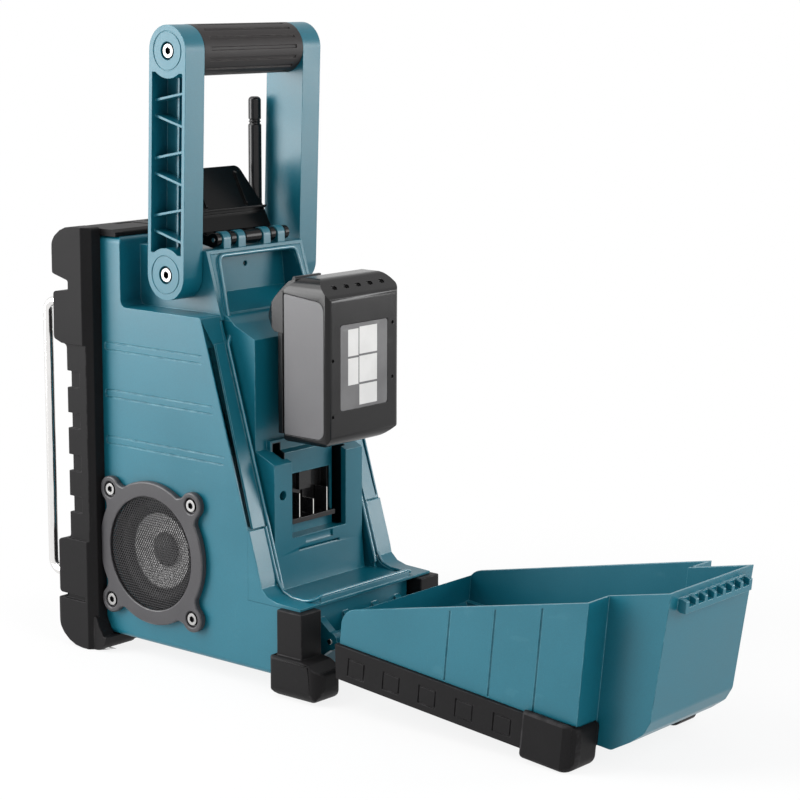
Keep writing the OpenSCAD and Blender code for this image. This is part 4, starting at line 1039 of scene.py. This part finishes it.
class RADIO_OT_handle(ShellOperator, bpy.types.Operator):
    """Rounds the handle's arms and its ribbed grip"""
    bl_idname = "radio.handle"
    bl_label = "Handle"
    shells = (("handle_arm_right", 0.2), ("handle_arm_left", 0.2), ("handle_grip", 0.35))

    def execute(self, context):
        super().execute(context)
        rounded_shell("handle_screws", 0.15 * MM, material=finish("handle_screws"))
        return {"FINISHED"}


class RADIO_OT_latch(ShellOperator, bpy.types.Operator):
    """Rounds the latch plate and the antenna"""
    bl_idname = "radio.latch"
    bl_label = "Latch and antenna"
    shells = (("latch_plate", 0.25), ("antenna", 0.15), ("antenna_base", 0.2))


class RADIO_OT_battery(ShellOperator, bpy.types.Operator):
    """Rounds the battery and gives its sides and label their films"""
    bl_idname = "radio.battery"
    bl_label = "Battery"
    shells = (("battery_head", 0.35), ("battery_label", 0.0), ("battery_release", 0.3))

    def execute(self, context):
        super().execute(context)
        rounded_shell("battery_case", 0.2 * MM, material=finish("battery_plastic"))
        rounded_shell("battery_side_panels", 0.15 * MM, material=finish("side_film"))
        return {"FINISHED"}


class RADIO_OT_speakers(bpy.types.Operator):
    """Perforates the grilles and rounds the rings and the screws round them"""
    bl_idname = "radio.speakers"
    bl_label = "Speakers"

    def execute(self, context):
        sizes = context.scene.radio_sizes
        low, high = SPEAKER_LOW, SPEAKER_HIGH
        radius = (high[1] - low[1]) / 2
        tree = grille_tree()
        for side, name in ((1.0, "right"), (-1.0, "left")):
            rounded_shell("speaker_ring_" + name, 1.1 * MM, 3, material=finish("ring_rubber"))
            mesh = nodes_mesh(tree, {
                "Radius": radius, "Pitch": sizes.hole_pitch, "Hole share": sizes.hole_share,
                "Thickness": sizes.grille_thickness, "Material": finish("mesh_steel")})
            if not len(mesh.polygons):
                raise RuntimeError("the grille came out empty")
            depth = high[0] - sizes.grille_thickness - SHEET_INSET
            middle = Vector((side * depth, (low[1] + high[1]) / 2, (low[2] + high[2]) / 2))
            mesh.transform(frame_matrix(middle, (0.0, 1.0, 0.0), (0.0, 0.0, 1.0)))
            if side < 0:
                mesh.transform(Matrix.Translation((-sizes.grille_thickness, 0.0, 0.0)))
            new_piece("grille_" + name, mesh, "mesh_steel", "housing", ("speaker_mesh_" + name,))
        rounded_shell("speaker_screws", 0.2 * MM, material=finish("speaker_screws"))
        for node in ("speaker_cone_right", "speaker_cone_left", "speaker_basket_right", "speaker_basket_left",
                     "speaker_magnets"):
            rounded_shell(node, 0.0)
        return {"FINISHED"}


class RADIO_OT_front(ShellOperator, bpy.types.Operator):
    """Rounds the front panel with its keys, knob and socket cap"""
    bl_idname = "radio.front"
    bl_label = "Front"
    shells = (("front_panel", 0.3), ("tuning_knob", 0.35), ("jack_cap", 0.3),
              *((f"preset_{i}", 0.25) for i in range(1, 6)),
              ("power_button", 0.25), ("mode_button", 0.25), ("panel_screws", 0.2), ("display_window", 0.15))


class RADIO_OT_fittings(ShellOperator, bpy.types.Operator):
    """Rounds the rods and contacts and finishes what keeps its plain shape"""
    bl_idname = "radio.fittings"
    bl_label = "Rods and fittings"
    shells = (("guard_rods", 0.0), ("terminal_block", 0.15), ("terminal_blades", 0.1),
              ("door_hinge_pin", 0.15), ("latch_hinge_pin", 0.15), ("jack_sockets", 0.1))

    def execute(self, context):
        super().execute(context)
        for node in ("display_module", "circuit_boards", "knob_encoder", "handle_tube", "handle_bushes",
                     "battery_cells"):
            if node not in NODES:
                raise RuntimeError("no such node: " + node)
            repaint(node)
        return {"FINISHED"}


class RADIO_PT_panel(bpy.types.Panel):
    """Shows the radio's settings and its operators"""
    bl_idname = "RADIO_PT_panel"
    bl_label = "Jobsite radio"
    bl_space_type = "VIEW_3D"
    bl_region_type = "UI"
    bl_category = "Radio"

    def draw(self, context):
        for group in (context.scene.radio_finishes, context.scene.radio_sizes, context.scene.radio_stage):
            for name in group.__annotations__:
                self.layout.prop(group, name)
        for operator in OPERATORS:
            self.layout.operator(operator.bl_idname)


OPERATORS = (RADIO_OT_stage, RADIO_OT_cabinet, RADIO_OT_bead, RADIO_OT_bumpers, RADIO_OT_door,
             RADIO_OT_handle, RADIO_OT_latch, RADIO_OT_battery, RADIO_OT_speakers, RADIO_OT_front,
             RADIO_OT_fittings)
GROUP_CLASSES = (RadioFinishes, RadioSizes, RadioStage)


def register():
    for cls in GROUP_CLASSES + OPERATORS + (RADIO_PT_panel,):
        bpy.utils.register_class(cls)
    bpy.types.Scene.radio_finishes = PointerProperty(type=RadioFinishes)
    bpy.types.Scene.radio_sizes = PointerProperty(type=RadioSizes)
    bpy.types.Scene.radio_stage = PointerProperty(type=RadioStage)


def unregister():
    for name in ("radio_finishes", "radio_sizes", "radio_stage"):
        delattr(bpy.types.Scene, name)
    for cls in reversed(GROUP_CLASSES + OPERATORS + (RADIO_PT_panel,)):
        bpy.utils.unregister_class(cls)


def main():
    register()
    for operator in OPERATORS:
        group, name = operator.bl_idname.split(".")
        result = getattr(getattr(bpy.ops, group), name)()
        if result != {"FINISHED"}:
            raise RuntimeError(operator.bl_idname + " did not finish")


if __name__ == "__main__":
    main()
